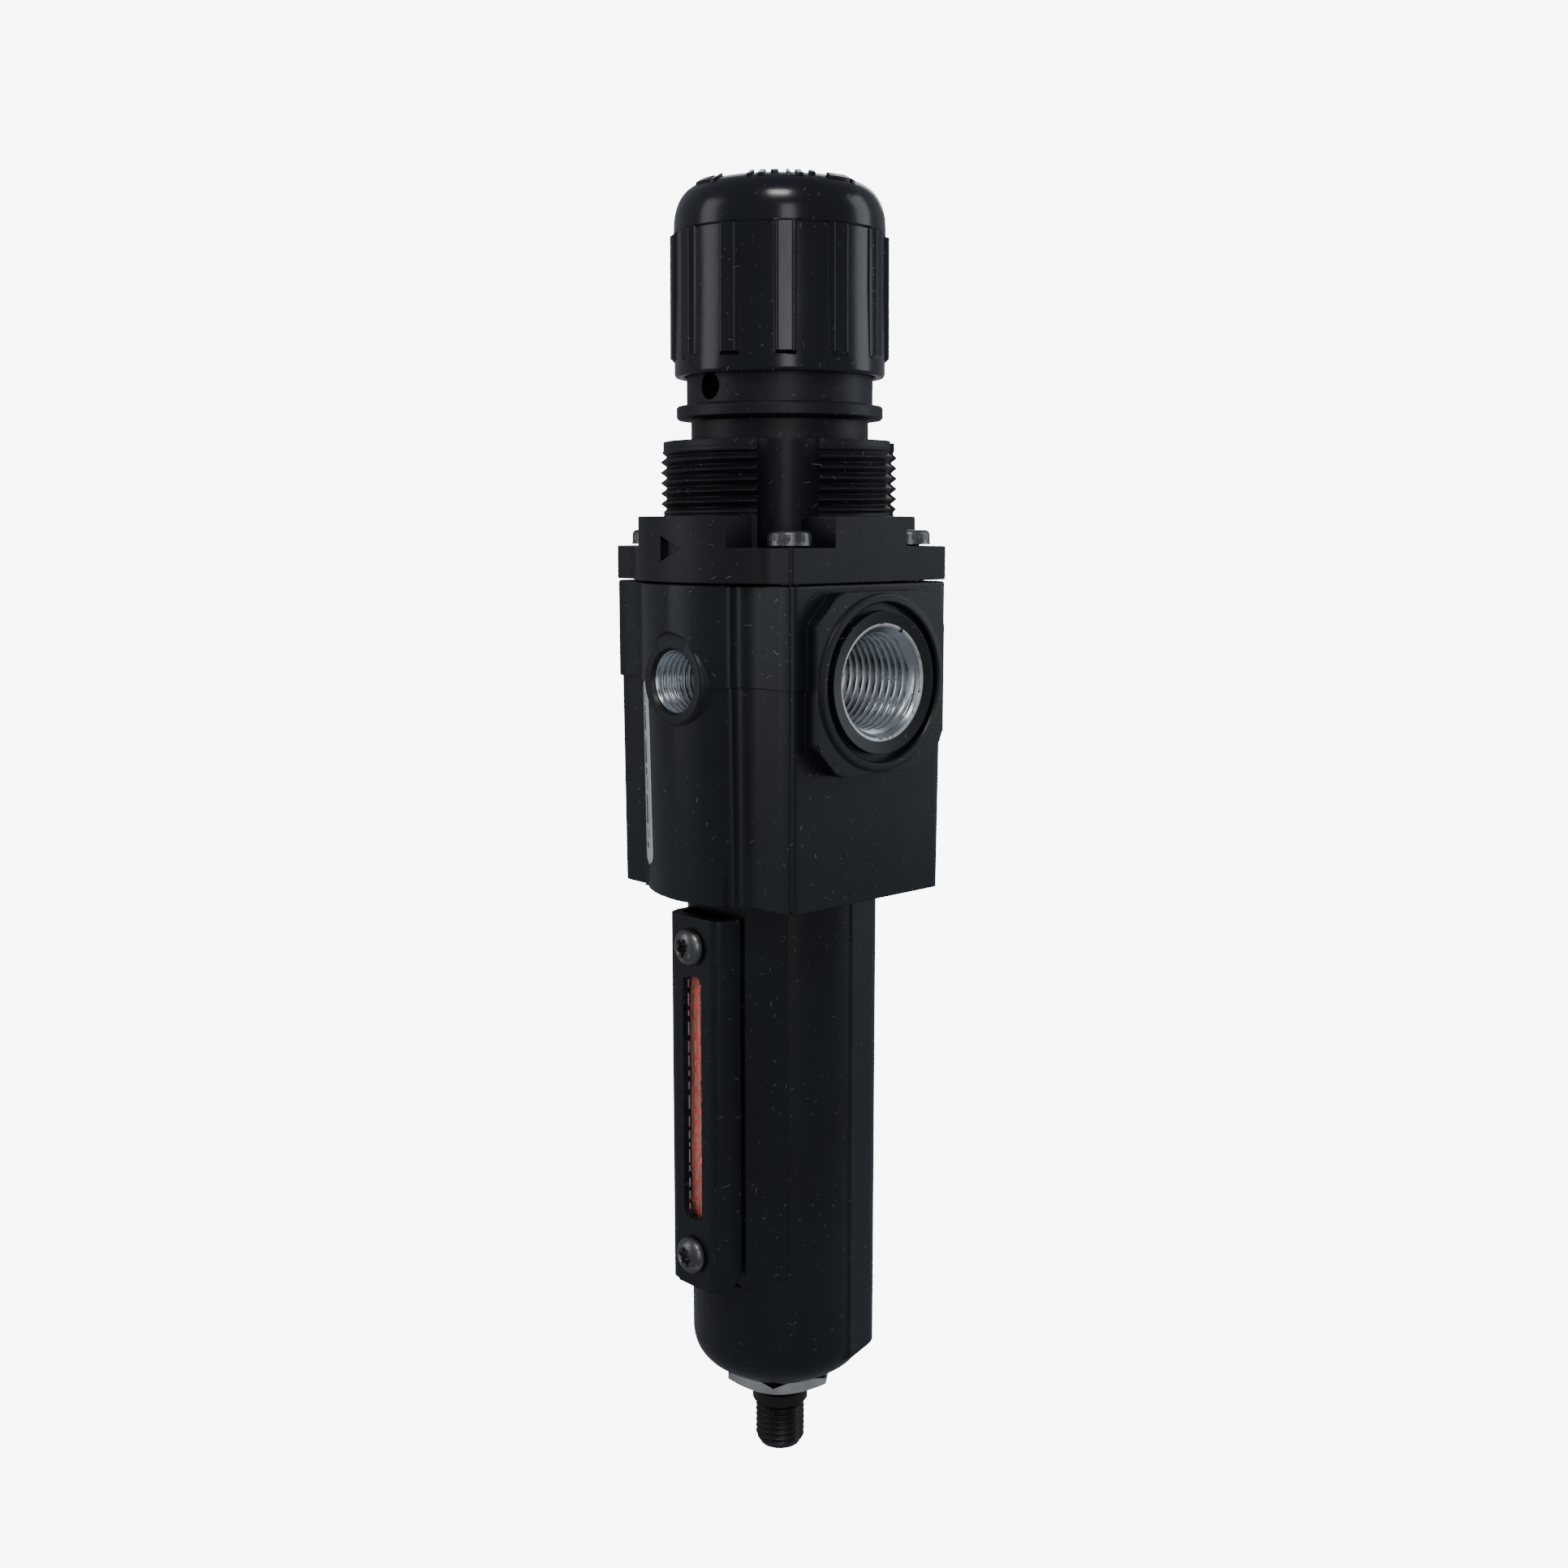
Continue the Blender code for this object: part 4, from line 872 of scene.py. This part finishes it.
for label_name, gz, spin in (("upper", -53.4, 0.35), ("lower", -118.1, 0.9)):
    prof = soften([(0, 26.9), (1.9, 26.85), (3.0, 26.4), (3.7, 25.6), (3.85, 25.0), (3.85, 24.72), (1.9, 24.7), (1.9, 18.3), (1.5, 17.9), (0, 17.9)],
                  {1: 0.5, 2: 0.5, 3: 0.3, 4: 0.2}, 3, closed=False)
    screw = lathe(f"lens_screw_{label_name}_head", prof, 72)
    carve(screw, "DIFFERENCE", [prism("c_star", star(1.95, 1.35), 25.2, 28.0), lathe("c_lead", [(0, 28.0), (2.6, 28.0), (1.9, 26.55), (0, 26.55)], 48)])
    screw.data.transform(Matrix.Translation((0, 0, gz * MM)) @ TO_FRONT @ Matrix.Rotation(spin, 4, "Z"))
    clean(screw)
    stand_for(screw, SCREW_METAL, "dark_steel", "housing", f"lens_cover_screw_{label_name}")

# thin ridges on the glass, coloured pale as a painted glint of their moulded edges, and on the window's left wall
# partly paint chips and partly painted glint, all broken into dashes
bm = bmesh.new()
state = 7
for x, y0, y1, wide in ((-1.55, 22.02, 22.24, 0.09), (-0.12, 22.02, 22.24, 0.07), (-2.74, 22.75, 23.05, 0.06)):
    z = -60.8
    while z > -109.0:
        state = (state * 1103515245 + 12345) % 2147483648
        length = 0.9 + 2.2 * (state / 2147483648)
        gap = 0.5 + 1.1 * ((state // 7) % 1000) / 1000.0
        low, high = Vector((x - wide, -y1, max(z - length, -109.6))) * MM, Vector((x + wide, -y0, z)) * MM
        made = bmesh.ops.create_cube(bm, size=1.0)["verts"]
        for v in made:
            v.co = Vector(a * b for a, b in zip(v.co, high - low)) + (low + high) / 2
        z -= length + gap
glints = from_bm("painted_glint_dashes", bm, 30.0)
bev = glints.modifiers.new("soft", "BEVEL")
bev.width = 0.00004
stand_for(glints, GLINT, "clear_lens", "housing")
tab = prism("gasket_top_tab", soften([(-4.0, -18.0), (-4.0, -20.9), (1.3, -20.9), (1.3, -18.0)], 0.7, 4), -49.6, -47.75, top=0.2, segments=2)
stand_for(tab, ORANGE, "orange_rubber", "housing")

# =====================================================================  drain
hexa = [(12.15 * math.cos(math.radians(10) + math.tau * k / 6), 12.15 * math.sin(math.radians(10) + math.tau * k / 6)) for k in range(6)]
nut = prism("drain_nut_hex", hexa, -152.0, -149.3)
crown = lathe("c_crown", soften([(0, -148.9), (9.6, -148.9), (12.3, -150.1), (12.3, -151.2), (9.6, -152.4), (0, -152.4)], 0.2, 2, closed=False), 96)
carve(nut, "INTERSECT", [crown])
carve(nut, "DIFFERENCE", [lathe("c_nut_bore", [(0, -148.0), (7.0, -148.0), (7.0, -149.0), (6.3, -149.9), (6.3, -151.4), (7.0, -152.2), (7.0, -153.0), (0, -153.0)], 72)])
clean(nut)
stand_for(nut, NUT_METAL, "zinc_plate", "housing", "drain_nut")

stem_prof = [(1.3, -112.0), (2.9, -112.0), (3.2, -113.0), (3.2, -142.5), (9.0, -142.5), (9.0, -145.0), (5.9, -145.0), (5.9, -153.9), (5.35, -154.2), (5.35, -154.7), (5.95, -155.0), (5.95, -157.3),
             (5.6, -157.6), (4.6, -157.8), (4.6, -158.6), (1.3, -158.6)]
stem = lathe("drain_stem", stem_prof, 84, closed=True)


def drain_thread(phase, z):
    r = thread_v(phase, 4.65, 5.25, 0.14)
    if z < -166.0:
        r = min(r, 5.25 - (-166.0 - z) * 0.62)
    if z > -157.9:
        r = 4.8 + (r - 4.8) * max(0.0, (-157.2 - z) / 0.7)
    return r


tail = helix_wall("t_tail", drain_thread, -167.6, -157.2, 1.3, 0, steps=84, per_pitch=10)
carve(stem, "UNION", [tail])
carve(stem, "DIFFERENCE", [lathe("c_drain_bore", [(0, -111.0), (1.3, -111.0), (1.3, -164.4), (3.1, -165.6), (3.3, -168.5), (0, -168.5)], 36)])
clean(stem, smooth=40.0)
stand_for(stem, moulded_black("drain_black", 0.42, (0.010, 0.010, 0.011), 0.9, 0.00002), "black_plastic", "housing", "drain_body")

# =====================================================================  pieces kept from the frame
KEEP = {
    "adjusting_screw": ZINC_METAL, "thrust_washer": BRASS_METAL, "upper_spring_rest": ZINC_METAL, "adjusting_spring": SPRING_METAL,
    "lower_spring_rest": ZINC_METAL, "diaphragm": RUBBER, "diaphragm_hub": BRASS_METAL, "valve_poppet": BRASS_METAL, "valve_spring": SPRING_METAL,
    "valve_cage": WHITE, "filter_element": SINTER, "baffle": WHITE, "air_deflector": WHITE, "bowl_o_ring": RUBBER, "drain_seal": RUBBER,
    "drain_float": WHITE, "rear_gauge_plug": SCREW_METAL,
}
for node, mat in KEEP.items():
    wear(NODES[node], mat)

rounded_edges(PAINT, 0.00030)
rounded_edges(MOULD, 0.00022)
rounded_edges(KNOB, 0.00020)

# =====================================================================  stage and light
bm = bmesh.new()
size = 96
rings = []
for r, z in [(0.0, 0.0)] + [(0.4 * k, 0.0) for k in range(1, 6)] + [(2.0 + 1.2 * math.sin(math.radians(9 * k)), 1.2 - 1.2 * math.cos(math.radians(9 * k))) for k in range(1, 11)] + [(3.2, 2.0), (3.2, 3.2)]:
    z -= 0.16765
    rings.append([bm.verts.new((0, 0, z))] if r == 0.0 else [bm.verts.new((r * math.cos(math.tau * k / size), r * math.sin(math.tau * k / size), z)) for k in range(size)])
for a, b in zip(rings[:-1], rings[1:]):
    for k in range(size):
        n = (k + 1) % size
        bm.faces.new((a[0], b[k], b[n]) if len(a) == 1 else (a[k], b[k], b[n], a[n]))
floor = from_bm("floor", bm, 40.0, recalc=False)
mat, tree, shader = nodes_of("white_studio_sweep")
speckle = noise(tree, mapped(tree), 60.0, 3.0)
tree.links.new(ramp(tree, speckle, [(0.3, (0.86, 0.86, 0.86)), (0.7, (0.90, 0.90, 0.90))]), shader.inputs["Base Color"])
shader.inputs["Roughness"].default_value = 0.9
shader.inputs["Emission Color"].default_value = (1.0, 1.0, 1.0, 1.0)
shader.inputs["Emission Strength"].default_value = 8.0
wear(floor, mat)
floor.visible_diffuse = False
floor.visible_glossy = False

world = bpy.data.worlds.new("studio")
bpy.context.scene.world = world
world.use_nodes = True
world.node_tree.nodes["Background"].inputs["Color"].default_value = (0.85, 0.89, 1.0, 1.0)
world.node_tree.nodes["Background"].inputs["Strength"].default_value = 0.27


def area(name, location, target, width, height, power, colour=(1, 1, 1)):
    data = bpy.data.lights.new(name, "AREA")
    data.shape = "RECTANGLE"
    data.size, data.size_y = width, height
    data.energy = power
    data.color = colour
    obj = link(bpy.data.objects.new(name, data))
    obj.location = location
    obj.rotation_euler = (Vector(target) - Vector(location)).to_track_quat("-Z", "Y").to_euler()
    return obj


area("key", (0.50, -0.48, 0.80), (0, 0, 0.03), 0.30, 0.16, 2.6, (1.0, 0.99, 0.97))
area("front", (0.85, -0.58, 0.16), (0, 0, 0.0), 0.24, 0.60, 1.3, (0.95, 0.97, 1.0))
area("left", (-0.57, -0.82, 0.25), (0, 0, 0.0), 0.36, 0.80, 1.5, (0.92, 0.95, 1.0))
area("right", (0.52, 0.84, 0.25), (0, 0, -0.02), 0.40, 0.90, 1.9, (0.88, 0.96, 1.0))
area("back", (-0.6, 0.7, 0.6), (0, 0, 0.0), 0.6, 0.6, 1.6, (0.95, 0.97, 1.0))

bpy.context.view_layer.update()
